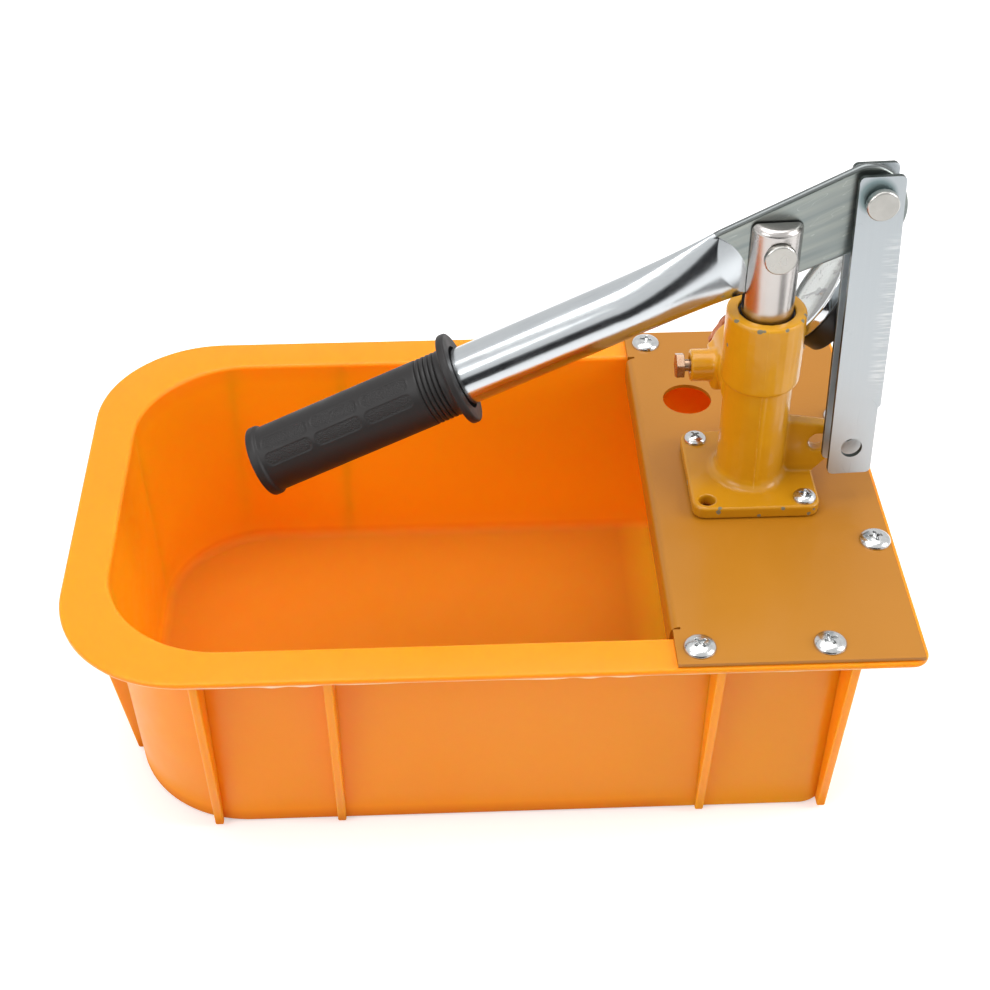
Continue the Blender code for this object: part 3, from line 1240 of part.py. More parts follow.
def make_gauge_shell(mount):
    """The case, its bezel and its lens."""
    outer = GAUGE_RADIUS
    inner = outer - GAUGE_CASE_WALL
    back = -(GAUGE_CASE_DEPTH + GAUGE_BEZEL_DEPTH) / 2
    rim = back + GAUGE_CASE_DEPTH
    floor = back + GAUGE_BACK_WALL
    profile = [(0, floor), (inner, floor), (inner, rim - SEAT_GAP), (outer, rim - SEAT_GAP)]
    profile += arc((outer - GAUGE_EDGE_RADIUS, back + GAUGE_EDGE_RADIUS), GAUGE_EDGE_RADIUS,
                   0, -QUARTER_TURN, 2)
    profile.append((0, back))
    case = turned("gauge_case", profile, LARGE_ROUND)
    place(case, (0, GAUGE_REACH, 0), parent=mount)
    reach = outer + CUT_OVERRUN
    way = rod("gauge_case_way", GAUGE_STEM_NECK + PART_RUN, reach, 0)
    cut(case, place(way, rotation=(QUARTER_TURN, 0, 0), parent=case))
    case.data.materials.append(material_black_enamel())
    top = rim + GAUGE_BEZEL_DEPTH
    hole = outer - GAUGE_BEZEL_LIP
    bezel_inner = outer - GAUGE_BEZEL_WALL
    profile = [(hole, top), (outer - GAUGE_EDGE_RADIUS, top), (outer, top - GAUGE_EDGE_RADIUS),
               (outer, rim), (bezel_inner, rim), (bezel_inner, top - GAUGE_BEZEL_WALL),
               (hole, top - GAUGE_BEZEL_WALL)]
    bezel = turned("gauge_bezel", profile, LARGE_ROUND)
    bezel.data.materials.append(material_polished_steel())
    place(bezel, (0, GAUGE_REACH, 0), parent=mount)
    lens_top = top - GAUGE_BEZEL_WALL - SEAT_GAP
    lens = rod("gauge_lens", 2 * (bezel_inner - RUN_GAP), lens_top,
               lens_top - GAUGE_LENS_THICKNESS, LARGE_ROUND)
    own_piece(lens)
    lens.data.materials.append(material_glass())
    place(lens, (0, GAUGE_REACH, 0), parent=mount)


def make_gauge_works(mount):
    """The stem with the movement it carries, the dial and the pointer."""
    back = -(GAUGE_CASE_DEPTH + GAUGE_BEZEL_DEPTH) / 2
    dial_foot = back + GAUGE_DIAL_BACK
    neck = GAUGE_STEM_NECK / 2
    thread = GAUGE_STEM_THREAD / 2
    top = GAUGE_REACH + neck
    profile = [(0, top), (neck, top), (neck, SEAT_GAP), (thread, -SEAT_GAP),
               (thread, -GAUGE_STEM_THREAD_LENGTH), (0, -GAUGE_STEM_THREAD_LENGTH)]
    stem = turned("gauge_stem", profile, MEDIUM_ROUND)
    place(stem, rotation=(-QUARTER_TURN, 0, 0), parent=mount)
    hex_part = plate("gauge_hexagon", [hexagon(GAUGE_STEM_HEX_WIDTH)], GAUGE_STEM_HEX_LENGTH,
                     CUTTERS)
    join(stem, place(hex_part, (0, 0, SEAT_GAP + GAUGE_STEM_HEX_LENGTH / 2), parent=stem))
    arbor_top = dial_foot + GAUGE_DIAL_THICKNESS + 2 * SEAT_GAP
    arbor = rod("gauge_arbor", GAUGE_ARBOR, arbor_top, 0, SMALL_ROUND)
    join(stem, place(arbor, (0, GAUGE_REACH, 0), parent=mount))
    stem.data.materials.append(material_brass())
    inner = GAUGE_RADIUS - GAUGE_CASE_WALL - RUN_GAP
    dial = plate("gauge_dial", [circle((0, 0), 2 * inner, LARGE_ROUND),
                                circle((0, 0), GAUGE_ARBOR + 2 * PART_RUN, SMALL_ROUND)],
                 GAUGE_DIAL_THICKNESS)
    dial.data.materials.append(material_dial())
    place(dial, (0, GAUGE_REACH, dial_foot + GAUGE_DIAL_THICKNESS / 2), parent=mount)
    pointer = plate("gauge_pointer", [pointer_outline()], GAUGE_POINTER_THICKNESS)
    pointer.data.materials.append(material_pointer())
    height = arbor_top + SEAT_GAP + GAUGE_POINTER_THICKNESS / 2
    place(pointer, (0, GAUGE_REACH, height), (0, 0, GAUGE_POINTER_START), mount)


def pointer_outline():
    """The pointer along Y: a tapering needle, a round hub and a short tail."""
    half = GAUGE_POINTER_WIDTH / 2
    hub = GAUGE_POINTER_HUB / 2
    side = math.acos(half / hub)
    outline = [(0, GAUGE_POINTER_LENGTH)]
    outline += arc((0, 0), hub, HALF_TURN - side, HALF_TURN + side, FILLET_STEPS + 1)
    outline += [(-half, -GAUGE_POINTER_TAIL), (half, -GAUGE_POINTER_TAIL)]
    outline += arc((0, 0), hub, -side, side, FILLET_STEPS + 1)
    return outline


def make_suction_seat():
    """The brass suction seat: thread in the casting, chamber for the ball, pipe socket."""
    top = CASTING_BOTTOM + SEAT_HEIGHT
    hex_top = COVER_BOTTOM - SEAT_GAP
    socket_top = hex_top - SEAT_HEX_HEIGHT
    foot = socket_top - SEAT_SOCKET_HEIGHT
    thread = SEAT_THREAD / 2
    chamber = SEAT_CHAMBER / 2
    bore = SEAT_BORE / 2
    socket = SEAT_SOCKET_DIAMETER / 2
    pipe = PIPE_DIAMETER / 2 + RUN_GAP
    floor = top - SEAT_CHAMBER_DEPTH
    step = socket_top + JOIN_STEP
    profile = [(chamber, top), (thread, top), (thread, step), (socket, step),
               (socket, foot), (pipe, foot), (pipe, socket_top), (bore, socket_top),
               (bore, floor), (chamber, floor)]
    seat = turned("suction_seat", profile, MEDIUM_ROUND)
    hex_part = plate("suction_hexagon", [hexagon(SEAT_HEX_WIDTH),
                                         circle((0, 0), SEAT_THREAD - 2 * JOIN_SINK)],
                     SEAT_HEX_HEIGHT, CUTTERS)
    join(seat, place(hex_part, (0, 0, hex_top - SEAT_HEX_HEIGHT / 2), parent=seat))
    bar = box("suction_bar", (SEAT_CHAMBER + 2 * JOIN_SINK, SEAT_BAR, SEAT_BAR),
              (0, 0, top - SEAT_BAR / 2))
    join(seat, place(bar, parent=seat))
    seat.data.materials.append(material_brass())
    return place(seat, (PUMP_X, 0, 0))


def make_suction_ball():
    """The ball that rests on the suction seat, its origin at its middle."""
    mesh = bpy.data.meshes.new("suction_ball")
    shell = bmesh.new()
    bmesh.ops.create_uvsphere(shell, u_segments=SMALL_ROUND, v_segments=SMALL_ROUND // 2,
                              radius=BALL_DIAMETER / 2)
    shell.to_mesh(mesh)
    shell.free()
    mesh.shade_smooth()
    ball = add_object("suction_ball", mesh, PIECES.objects)
    ball.data.materials.append(material_polished_steel())
    floor = CASTING_BOTTOM + SEAT_HEIGHT - SEAT_CHAMBER_DEPTH
    rise = math.sqrt((BALL_DIAMETER / 2) ** 2 - (SEAT_BORE / 2) ** 2) + SEAT_GAP
    return place(ball, (PUMP_X, 0, floor + rise))


def make_suction_pipe():
    """The pipe from the seat's socket down into the strainer's socket."""
    top = COVER_BOTTOM - SEAT_GAP - SEAT_HEX_HEIGHT - SEAT_GAP
    foot = TANK_WALL + STRAINER_FLOOR_GAP + STRAINER_HEIGHT
    outer = PIPE_DIAMETER / 2
    inner = outer - PIPE_WALL
    profile = [(outer, top), (outer, foot - JOIN_SINK), (inner, foot - JOIN_SINK), (inner, top)]
    pipe = turned("suction_pipe", profile, MEDIUM_ROUND)
    pipe.data.materials.append(material_pipe())
    return place(pipe, (PUMP_X, 0, 0))


def make_strainer():
    """The strainer at the pipe's foot: a cup with a socket and rows of round holes."""
    foot = TANK_WALL + STRAINER_FLOOR_GAP
    top = foot + STRAINER_HEIGHT
    socket_top = top + STRAINER_SOCKET
    outer = STRAINER_DIAMETER / 2
    inner = outer - STRAINER_WALL
    pipe = PIPE_DIAMETER / 2 + RUN_GAP
    collar = pipe + STRAINER_WALL
    ledge = PIPE_DIAMETER / 2 - PIPE_WALL
    floor = foot + STRAINER_WALL
    step = top - JOIN_SINK - SEAT_GAP
    ceiling = step - STRAINER_WALL
    skin = [(0, socket_top), (collar, socket_top), (collar, top), (outer, top), (outer, foot), (0, foot)]
    strainer = turned("suction_strainer", skin, MEDIUM_ROUND)
    hollow = turned("strainer_hollow", [(0, ceiling), (inner, ceiling), (inner, floor), (0, floor)],
                    MEDIUM_ROUND, CUTTERS)
    cut(strainer, place(hollow, parent=strainer))
    way = turned("strainer_socket", [(0, socket_top + CUT_OVERRUN),
                 (pipe, socket_top + CUT_OVERRUN), (pipe, step), (ledge, step),
                 (ledge, floor + CUT_OVERRUN), (0, floor + CUT_OVERRUN)], MEDIUM_ROUND, CUTTERS)
    cut(strainer, place(way, parent=strainer))
    span = STRAINER_HEIGHT - 2 * STRAINER_WALL
    for row in range(STRAINER_ROWS):
        height = foot + STRAINER_WALL + span * (row + 1) / (STRAINER_ROWS + 1)
        for column in range(STRAINER_COLUMNS // 2):
            turn = FULL_TURN * column / STRAINER_COLUMNS
            hole = rod(f"strainer_hole_{row}_{column}", STRAINER_HOLE, STRAINER_DIAMETER,
                       -STRAINER_DIAMETER, SMALL_ROUND // 2)
            cut(strainer, place(hole, (0, 0, height), (QUARTER_TURN, 0, turn), strainer))
    strainer.data.materials.append(material_pipe())
    return place(strainer, (PUMP_X, 0, 0))


def material_tank():
    """Orange moulded plastic."""
    return new_material("orange_plastic", (0.85, 0.20, 0.01), 0.38, 0)


def material_cover():
    """Mustard paint on sheet steel."""
    return new_material("mustard_paint", (0.50, 0.29, 0.05), 0.42, 0)


def material_casting():
    """The same paint, thicker and glossier, on cast iron."""
    return new_material("casting_paint", (0.46, 0.26, 0.04), 0.30, 0)


def material_plated_steel():
    """Bright zinc plate."""
    return new_material("plated_steel", (0.62, 0.62, 0.60), 0.24, 1)


def material_polished_steel():
    """Ground and polished steel."""
    return new_material("polished_steel", (0.70, 0.70, 0.69), 0.14, 1)


def material_spring_steel():
    """Dark spring steel."""
    return new_material("spring_steel", (0.12, 0.12, 0.13), 0.40, 1)


def material_zinc():
    """Dull zinc plate on flat bar."""
    return new_material("zinc_plate", (0.52, 0.52, 0.50), 0.36, 1)


def material_brass():
    """Turned brass."""
    return new_material("brass", (0.66, 0.44, 0.17), 0.28, 1)


def material_rubber():
    """Black rubber."""
    return new_material("black_rubber", (0.012, 0.012, 0.013), 0.55, 0)


def material_black_enamel():
    """Black enamel on pressed steel."""
    return new_material("black_enamel", (0.010, 0.010, 0.011), 0.30, 0)


def material_glass():
    """Window glass."""
    return new_material("gauge_glass", (0.80, 0.84, 0.85), 0.03, 0)


def material_dial():
    """White dial enamel."""
    return new_material("dial_white", (0.80, 0.80, 0.78), 0.50, 0)


def material_pointer():
    """Black pointer paint."""
    return new_material("pointer_black", (0.008, 0.008, 0.008), 0.45, 0)


def material_pipe():
    """Grey plastic pipe."""
    return new_material("grey_plastic", (0.20, 0.21, 0.22), 0.45, 0)


def weld_cuts():
    """Merge the doubled points that joins and cuts leave on level faces."""
    for piece in PIECES.objects:
        if any(modifier.type == "BOOLEAN" for modifier in piece.modifiers):
            weld = piece.modifiers.new("weld", "WELD")
            weld.merge_threshold = WELD_DISTANCE


def main():
    """Build every piece."""
    make_tank()
    make_cover()
    make_cover_fixings()
    mount = make_gauge_mount()
    make_casting(mount)
    make_casting_fixings()
    make_seals()
    make_suction_seat()
    make_suction_ball()
    make_suction_pipe()
    make_strainer()
    make_nipple()
    make_release_screw()
    make_gauge_shell(mount)
    make_gauge_works(mount)
    make_plunger()
    plunger_half = PLUNGER_DIAMETER / 2
    make_pin("plunger_pin", LEVER_PIN, PIN_HEAD_THICKNESS, plunger_half - PIN_SPOT_DEPTH,
             plunger_half)
    make_grip(make_lever())
    make_links()
    make_pin("link_pin", LINK_PIN, LINK_PIN_HEAD_THICKNESS, LINK_PIN_SEAT, LINK_PIN_SEAT)
    weld_cuts()


clear_scene()
PIECES = new_collection("hydrostatic_test_pump")
CUTTERS = new_collection("cutters")
main()
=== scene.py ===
"""Looks of the hand lever pump for hydrostatic pressure tests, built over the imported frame.

All lengths are metres in the CAD's own frame: +X along the tank to the pump, +Z up.
"""
import json
import math

import bmesh
import bpy
import numpy as np
from mathutils import Euler, Matrix, Vector


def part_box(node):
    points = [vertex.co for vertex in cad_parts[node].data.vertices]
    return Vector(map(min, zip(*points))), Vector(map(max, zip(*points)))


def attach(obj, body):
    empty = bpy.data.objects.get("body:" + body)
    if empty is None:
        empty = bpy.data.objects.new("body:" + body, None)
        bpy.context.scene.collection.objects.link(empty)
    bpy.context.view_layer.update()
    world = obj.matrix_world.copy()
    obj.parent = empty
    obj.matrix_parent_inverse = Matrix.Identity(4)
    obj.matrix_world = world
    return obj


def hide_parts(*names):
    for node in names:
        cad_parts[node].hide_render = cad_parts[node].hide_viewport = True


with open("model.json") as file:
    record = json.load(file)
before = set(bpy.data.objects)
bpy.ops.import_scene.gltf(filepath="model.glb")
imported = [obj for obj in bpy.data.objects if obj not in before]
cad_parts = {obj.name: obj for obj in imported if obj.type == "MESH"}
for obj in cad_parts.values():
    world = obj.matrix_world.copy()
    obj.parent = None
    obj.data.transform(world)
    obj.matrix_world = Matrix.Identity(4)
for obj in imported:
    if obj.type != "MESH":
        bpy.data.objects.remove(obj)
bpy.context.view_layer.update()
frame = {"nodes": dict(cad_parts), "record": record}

NODES = frame["nodes"]
MM = 0.001
FULL = 2 * math.pi
HALF = math.pi
QUARTER = math.pi / 2

BODY_OF = {node: body for body, members in frame["record"]["behaviour"]["bodies"].items()
           for node in members}
JOINT = {joint["name"]: joint for joint in frame["record"]["behaviour"]["joints"]}
FASTENERS = [name for name in NODES if name.startswith(("cover_screw", "casting_screw"))]
NUTS = [name for name in NODES if name.startswith(("cover_nut", "casting_nut"))]

# Places taken over from the part's source.
PUMP_X = 0.1351
CASTING_FOOT = 0.1253
LEVER_PIN = Vector(JOINT["lever_raise"]["pos_m"])
LINK_PIN = Vector(JOINT["link_swing"]["pos_m"])
LEVER_ANGLE = math.radians(24.63)
LEVER_TURN = math.radians(2.7)
LEVER_ROLL = math.radians(1.4)
LINK_LEAN = math.radians(5.8)
GAUGE_SLANT = math.radians(31.3)
GAUGE_TURN = math.radians(9.2)
PIN_PLACE = Matrix.Translation(LEVER_PIN) @ Matrix.Rotation(LEVER_TURN, 4, "Z")
LEVER_PLACE = (Matrix.Translation(LEVER_PIN)
               @ Euler((-LEVER_ROLL, -LEVER_ANGLE, LEVER_TURN)).to_matrix().to_4x4())
LINK_PLACE = (Matrix.Translation(LINK_PIN)
              @ Euler((-LINK_LEAN, 0, LEVER_TURN)).to_matrix().to_4x4())


# Small helpers.

def linear(code):
    """An sRGB hex colour as linear light with full cover."""
    shares = [int(code[at:at + 2], 16) / 255 for at in (0, 2, 4)]
    return tuple(s / 12.92 if s <= 0.04045 else ((s + 0.055) / 1.055) ** 2.4 for s in shares) + (1,)


def usual_output(node):
    """The output that is read where none is named: a colour mix's colour, a piece's own
    coordinates, or else the node's first."""
    if node.bl_idname == "ShaderNodeMix" and node.data_type == "RGBA":
        return 2
    return "Object" if node.bl_idname == "ShaderNodeTexCoord" else 0


def join_nodes(tree, source, target, key):
    """Link a node, or a pair of a node and one of its outputs, to another node's input."""
    node, output = source if isinstance(source, tuple) else (source, usual_output(source))
    tree.links.new(node.outputs[output], target.inputs[key])


def add(tree, kind, settings=()):
    """Add a shader node: each setting fills a property or an input, or links a node to it."""
    made = tree.nodes.new("ShaderNode" + kind)
    for key, value in dict(settings).items():
        source = value[0] if isinstance(value, tuple) else value
        if isinstance(source, bpy.types.Node):
            join_nodes(tree, value, made, key)
        elif isinstance(key, str) and key in made.bl_rna.properties:
            setattr(made, key, value)
        else:
            made.inputs[key].default_value = value
    return made


def new_material(name, settings):
    """A material with one Principled shader whose plain settings stay on its own sockets."""
    made = bpy.data.materials.new(name)
    made.use_nodes = True
    tree = made.node_tree
    tree.nodes.clear()
    shader = add(tree, "BsdfPrincipled", settings)
    add(tree, "OutputMaterial", {"Surface": shader})
    return made, tree, shader


def finish_mesh(mesh, sharp=32.0):
    """Merge the seams and poles, point the faces outwards and smooth all but sharp edges."""
    skin = bmesh.new()
    skin.from_mesh(mesh)
    bmesh.ops.remove_doubles(skin, verts=skin.verts, dist=2e-6)
    bmesh.ops.dissolve_degenerate(skin, dist=1e-6, edges=skin.edges)
    bmesh.ops.recalc_face_normals(skin, faces=skin.faces)
    skin.to_mesh(mesh)
    skin.free()
    mesh.shade_smooth()
    mesh.set_sharp_from_angle(angle=math.radians(sharp))
    return mesh


def skin_mesh(name, grid, closed_rows=False, capped=False):
    """A skin through a grid of points: columns run round and rows run along. Its two end rows are
    joined to each other, closed by a face each, or left as they are."""
    rows, columns = grid.shape[:2]
    index = np.arange(rows * columns).reshape(rows, columns)
    caps = [index[0][::-1].tolist(), index[-1].tolist()] if capped else []
    if closed_rows:
        index = np.vstack([index, index[:1]])
    beside = np.roll(index, -1, axis=1)
    faces = np.stack([index[:-1], beside[:-1], beside[1:], index[1:]], axis=-1).reshape(-1, 4)
    mesh = bpy.data.meshes.new(name)
    mesh.from_pydata(grid.reshape(-1, 3), [], faces.tolist() + caps)
    return mesh


def grid_mesh(name, grid, sharp=32.0, closed_rows=False):
    """A finished skin through a grid of points, whose end rows fold to a point or are joined."""
    return finish_mesh(skin_mesh(name, grid, closed_rows), sharp)


def mark_points(mesh, name, values):
    """Give each point of a mesh a number that its material reads as an attribute."""
    field = mesh.attributes.new(name, "FLOAT", "POINT")
    field.data.foreach_set("value", np.asarray(values, np.float32).ravel())


def rounded(profile, radius, steps=5):
    """A polyline whose inner corners are parabolas that start and end a radius away."""
    points = np.asarray(profile, float)
    before, corner, after = points[:-2], points[1:-1], points[2:]
    back, ahead = before - corner, after - corner
    far_back = np.linalg.norm(back, axis=1, keepdims=True)
    far_ahead = np.linalg.norm(ahead, axis=1, keepdims=True)
    start = corner + back / far_back * np.minimum(radius, far_back * 0.45)
    end = corner + ahead / far_ahead * np.minimum(radius, far_ahead * 0.45)
    t = np.linspace(0, 1, steps + 1)[None, :, None]
    bent = (1 - t) ** 2 * start[:, None] + 2 * t * (1 - t) * corner[:, None] + t ** 2 * end[:, None]
    return np.vstack([points[:1], bent.reshape(-1, 2), points[-1:]])


def turned_grid(radius, height, steps):
    """Radius times cosine and sine of the turn, at each height: a turned or hexagonal skin."""
    turn = np.linspace(0, FULL, steps, endpoint=False)
    radius = np.broadcast_to(radius, (len(radius), steps))
    height = np.broadcast_to(height, (len(height), steps))
    return np.stack([radius * np.cos(turn), radius * np.sin(turn), height], axis=-1)


def turned_mesh(name, profile, steps=96, edge=0.0, sharp=32.0):
    """A profile of radius and height carried round its own Z, its corners eased by an edge."""
    shape = rounded(profile, edge) if edge else np.asarray(profile, float)
    closed = shape[0, 0] > 0 and shape[-1, 0] > 0
    return grid_mesh(name, turned_grid(shape[:, :1], shape[:, 1:], steps), sharp, closed)


def hex_radius(width, steps, turn_by=0.0):
    """Distance from the axis to a hexagon's side, at each turn."""
    turn = np.linspace(0, FULL, steps, endpoint=False) + turn_by
    sector = FULL / 6
    return width / 2 / np.cos((turn % sector) - sector / 2)


def put(name, data):
    """An object at the origin that holds the data, linked into the scene."""
    made = bpy.data.objects.new(name, data)
    bpy.context.scene.collection.objects.link(made)
    return made


def apply_modifiers(piece):
    """Make what the modifiers give the piece's own mesh."""
    bpy.context.view_layer.update()
    seen = piece.evaluated_get(bpy.context.evaluated_depsgraph_get())
    mesh = bpy.data.meshes.new_from_object(seen)
    piece.modifiers.clear()
    piece.data = mesh
    return piece


def show(name, mesh, material, node, place=None):
    """Put a finished mesh in the scene in place of its CAD node, riding on the node's body."""
    if place is not None:
        mesh.transform(place)
    piece = put(name, mesh)
    mesh.materials.clear()
    mesh.materials.append(material)
    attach(piece, BODY_OF[node])
    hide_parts(node)
    return piece


def extra(name, mesh, material, body, place=None):
    """Put a small added form in the scene, riding on a body."""
    if place is not None:
        mesh.transform(place)
    piece = put(name, mesh)
    mesh.materials.append(material)
    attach(piece, body)
    return piece


def merged_copy(node):
    """The node's own triangles with their doubled corners merged."""
    mesh = NODES[node].data.copy()
    skin = bmesh.new()
    skin.from_mesh(mesh)
    bmesh.ops.remove_doubles(skin, verts=skin.verts, dist=1e-6)
    bmesh.ops.dissolve_limit(skin, angle_limit=math.radians(0.6), verts=skin.verts,
                             edges=skin.edges)
    skin.to_mesh(mesh)
    skin.free()
    return mesh


def eased(node, material, width, segments=2, angle=32.0, mesh=None):
    """The node's own shape with its sharp edges eased by a small bevel, shown in its place."""
    piece = show(node + "_finished", mesh or merged_copy(node), material, node)
    if width:
        bevel = piece.modifiers.new("edges", "BEVEL")
        bevel.width = width
        bevel.segments = segments
        bevel.limit_method = "ANGLE"
        bevel.angle_limit = math.radians(angle)
        bevel.harden_normals = False
        apply_modifiers(piece)
    piece.data.shade_smooth()
    piece.data.set_sharp_from_angle(angle=math.radians(angle + 10))
    level = piece.modifiers.new("level", "WEIGHTED_NORMAL")
    level.keep_sharp = True
    return apply_modifiers(piece)


# Materials.

def moulded_polypropylene():
    """Injection moulded polypropylene, orange: an even satin skin that glows a little where light
    goes through thin walls, with faint flow marks, a fine grain and small scuffs. Painted light
    lightens its inside, and painted shade deepens its open floor and its rim's top."""
    made, tree, shader = new_material("moulded_polypropylene", {
        "IOR": 1.49, "Specular IOR Level": 0.28, "Subsurface Weight": 0.75,
        "Subsurface Radius": (1.0, 0.40, 0.06), "Subsurface Scale": 0.011})
    place = add(tree, "TexCoord")
    # Broad flow marks about 90 mm long, drawn up the wall as the melt ran.
    flow = add(tree, "Mapping", {"Scale": (11, 11, 5), "Vector": place})
    cloud = add(tree, "TexNoise", {"Scale": 1.0, "Detail": 3.0, "Roughness": 0.5, "Vector": flow})
    shade = add(tree, "Mix", {"data_type": "RGBA", 0: cloud, 6: linear("F2920E"),
                              7: linear("F89C16")})
    # Painted light: the inside is painted a lighter orange, for the light that comes through the
    # thin walls; the piece's own attribute says where it is.
    inside = add(tree, "Attribute", {"attribute_name": "inside"})
    inside_painted_light = add(tree, "Mix", {"data_type": "RGBA", 0: (inside, "Fac"), 6: shade,
                              7: linear("FFA30E")})
    # Painted shade: the open floor is painted a deeper orange, for light that has met plastic
    # before. The floor under the cover keeps the lighter inside orange, a painted light in the
    # cover's shadow.
    rise = add(tree, "SeparateXYZ", {0: place})
    low = add(tree, "MapRange", {0: (rise, "Z"), 1: 0.003, 2: 0.010, 3: 0.85, 4: 0.0})
    covered = add(tree, "MapRange", {0: (rise, "X"), 1: 0.084, 2: 0.100, 3: 1.0, 4: 0.0})
    painted_floor_shade = add(tree, "Math", {"operation": "MULTIPLY", 0: low, 1: covered})
    floor = add(tree, "Mix", {"data_type": "RGBA", 0: painted_floor_shade, 6: inside_painted_light, 7: linear("DA7604")})
    # Painted shade: the rim's top is painted a deeper orange too, against the light that falls on
    # it from above.
    high = add(tree, "MapRange", {0: (rise, "Z"), 1: 0.1195, 2: 0.1215, 3: 0.0, 4: 0.8})
    deep = add(tree, "Mix", {"data_type": "RGBA", 0: high, 6: floor, 7: linear("F9900C")})
    # Scuffs: sparse short marks of about 1 mm, a little darker.
    specks = add(tree, "TexVoronoi", {"Scale": 38.0, "Randomness": 1.0, "Vector": place})
    dot = add(tree, "MapRange", {0: specks, 1: 0.020, 2: 0.035, 3: 0.55, 4: 0.0})
    rare = add(tree, "SeparateColor", {0: (specks, "Color")})
    chosen = add(tree, "Math", {"operation": "LESS_THAN", 0: (rare, 0), 1: 0.10})
    marks = add(tree, "Math", {"operation": "MULTIPLY", 0: dot, 1: chosen})
    worn = add(tree, "Mix", {"data_type": "RGBA", 0: marks, 6: deep, 7: linear("B4540C")})
    join_nodes(tree, worn, shader, "Base Color")
    # Satin that varies a little, 25 mm patches.
    patch = add(tree, "TexNoise", {"Scale": 40.0, "Detail": 4.0, "Vector": place})
    rough = add(tree, "MapRange", {0: patch, 1: 0.3, 2: 0.7, 3: 0.30, 4: 0.42})
    # Low down the water's dirt has dulled it.
    dull = add(tree, "MapRange", {0: (rise, "Z"), 1: 0.006, 2: 0.020, 3: 0.40, 4: 0.0})
    satin = add(tree, "Math", {"operation": "ADD", 0: rough, 1: dull})
    join_nodes(tree, satin, shader, "Roughness")
    # Moulded grain of 0.5 mm, drawn at 1.4 mm so that it shows, over slow waves of 30 mm.
    grain = add(tree, "TexNoise", {"Scale": 700.0, "Detail": 2.0, "Vector": place})
    wave = add(tree, "TexNoise", {"Scale": 32.0, "Detail": 1.0, "Vector": place})
    first = add(tree, "Bump", {"Strength": 0.05, "Distance": 0.0004, "Height": grain})
    both = add(tree, "Bump", {"Strength": 0.22, "Distance": 0.0016, "Height": wave,
                              "Normal": first})
    join_nodes(tree, both, shader, "Normal")
    return made


def mould_flash():
    """The thin film that squeezes out at a mould's parting line: the moulding's own plastic,
    coloured a pale peach to near white."""
    made, tree, shader = new_material("polypropylene_flash", {
        "IOR": 1.49, "Roughness": 0.35})
    place = add(tree, "TexCoord")
    ragged = add(tree, "TexNoise", {"Scale": 260.0, "Detail": 3.0, "Vector": place})
    shade = add(tree, "Mix", {"data_type": "RGBA", 0: ragged, 6: linear("FFC27A"),
                              7: linear("FFE7C8")})
    join_nodes(tree, shade, shader, "Base Color")
    return made


def sprayed_sheet_paint():
    """Stoving enamel sprayed on steel sheet, mustard: satin with a fine orange peel of 2 mm,
    a little dust, and broad soft differences where the coat is thinner."""
    made, tree, shader = new_material("stoving_enamel_on_sheet", {
        "IOR": 1.5, "Specular IOR Level": 0.35, "Coat Weight": 0.15, "Coat Roughness": 0.12})
    place = add(tree, "TexCoord")
    broad = add(tree, "TexNoise", {"Scale": 14.0, "Detail": 3.0, "Vector": place})
    shade = add(tree, "Mix", {"data_type": "RGBA", 0: broad, 6: linear("A56A10"),
                              7: linear("B27417")})
    specks = add(tree, "TexVoronoi", {"Scale": 75.0, "Vector": place})
    rare = add(tree, "SeparateColor", {0: (specks, "Color")})
    chosen = add(tree, "Math", {"operation": "LESS_THAN", 0: (rare, 1), 1: 0.05})
    dot = add(tree, "MapRange", {0: specks, 1: 0.03, 2: 0.06, 3: 0.5, 4: 0.0})
    marks = add(tree, "Math", {"operation": "MULTIPLY", 0: dot, 1: chosen})
    dusty = add(tree, "Mix", {"data_type": "RGBA", 0: marks, 6: shade, 7: linear("8A5A22")})
    join_nodes(tree, dusty, shader, "Base Color")
    rough = add(tree, "MapRange", {0: broad, 1: 0.3, 2: 0.7, 3: 0.30, 4: 0.40})
    join_nodes(tree, rough, shader, "Roughness")
    peel = add(tree, "TexNoise", {"Scale": 520.0, "Detail": 1.0, "Vector": place})
    dents = add(tree, "TexNoise", {"Scale": 22.0, "Detail": 1.0, "Vector": place})
    first = add(tree, "Bump", {"Strength": 0.10, "Distance": 0.0003, "Height": peel})
    both = add(tree, "Bump", {"Strength": 0.12, "Distance": 0.0015, "Height": dents,
                              "Normal": first})
    join_nodes(tree, both, shader, "Normal")
    return made


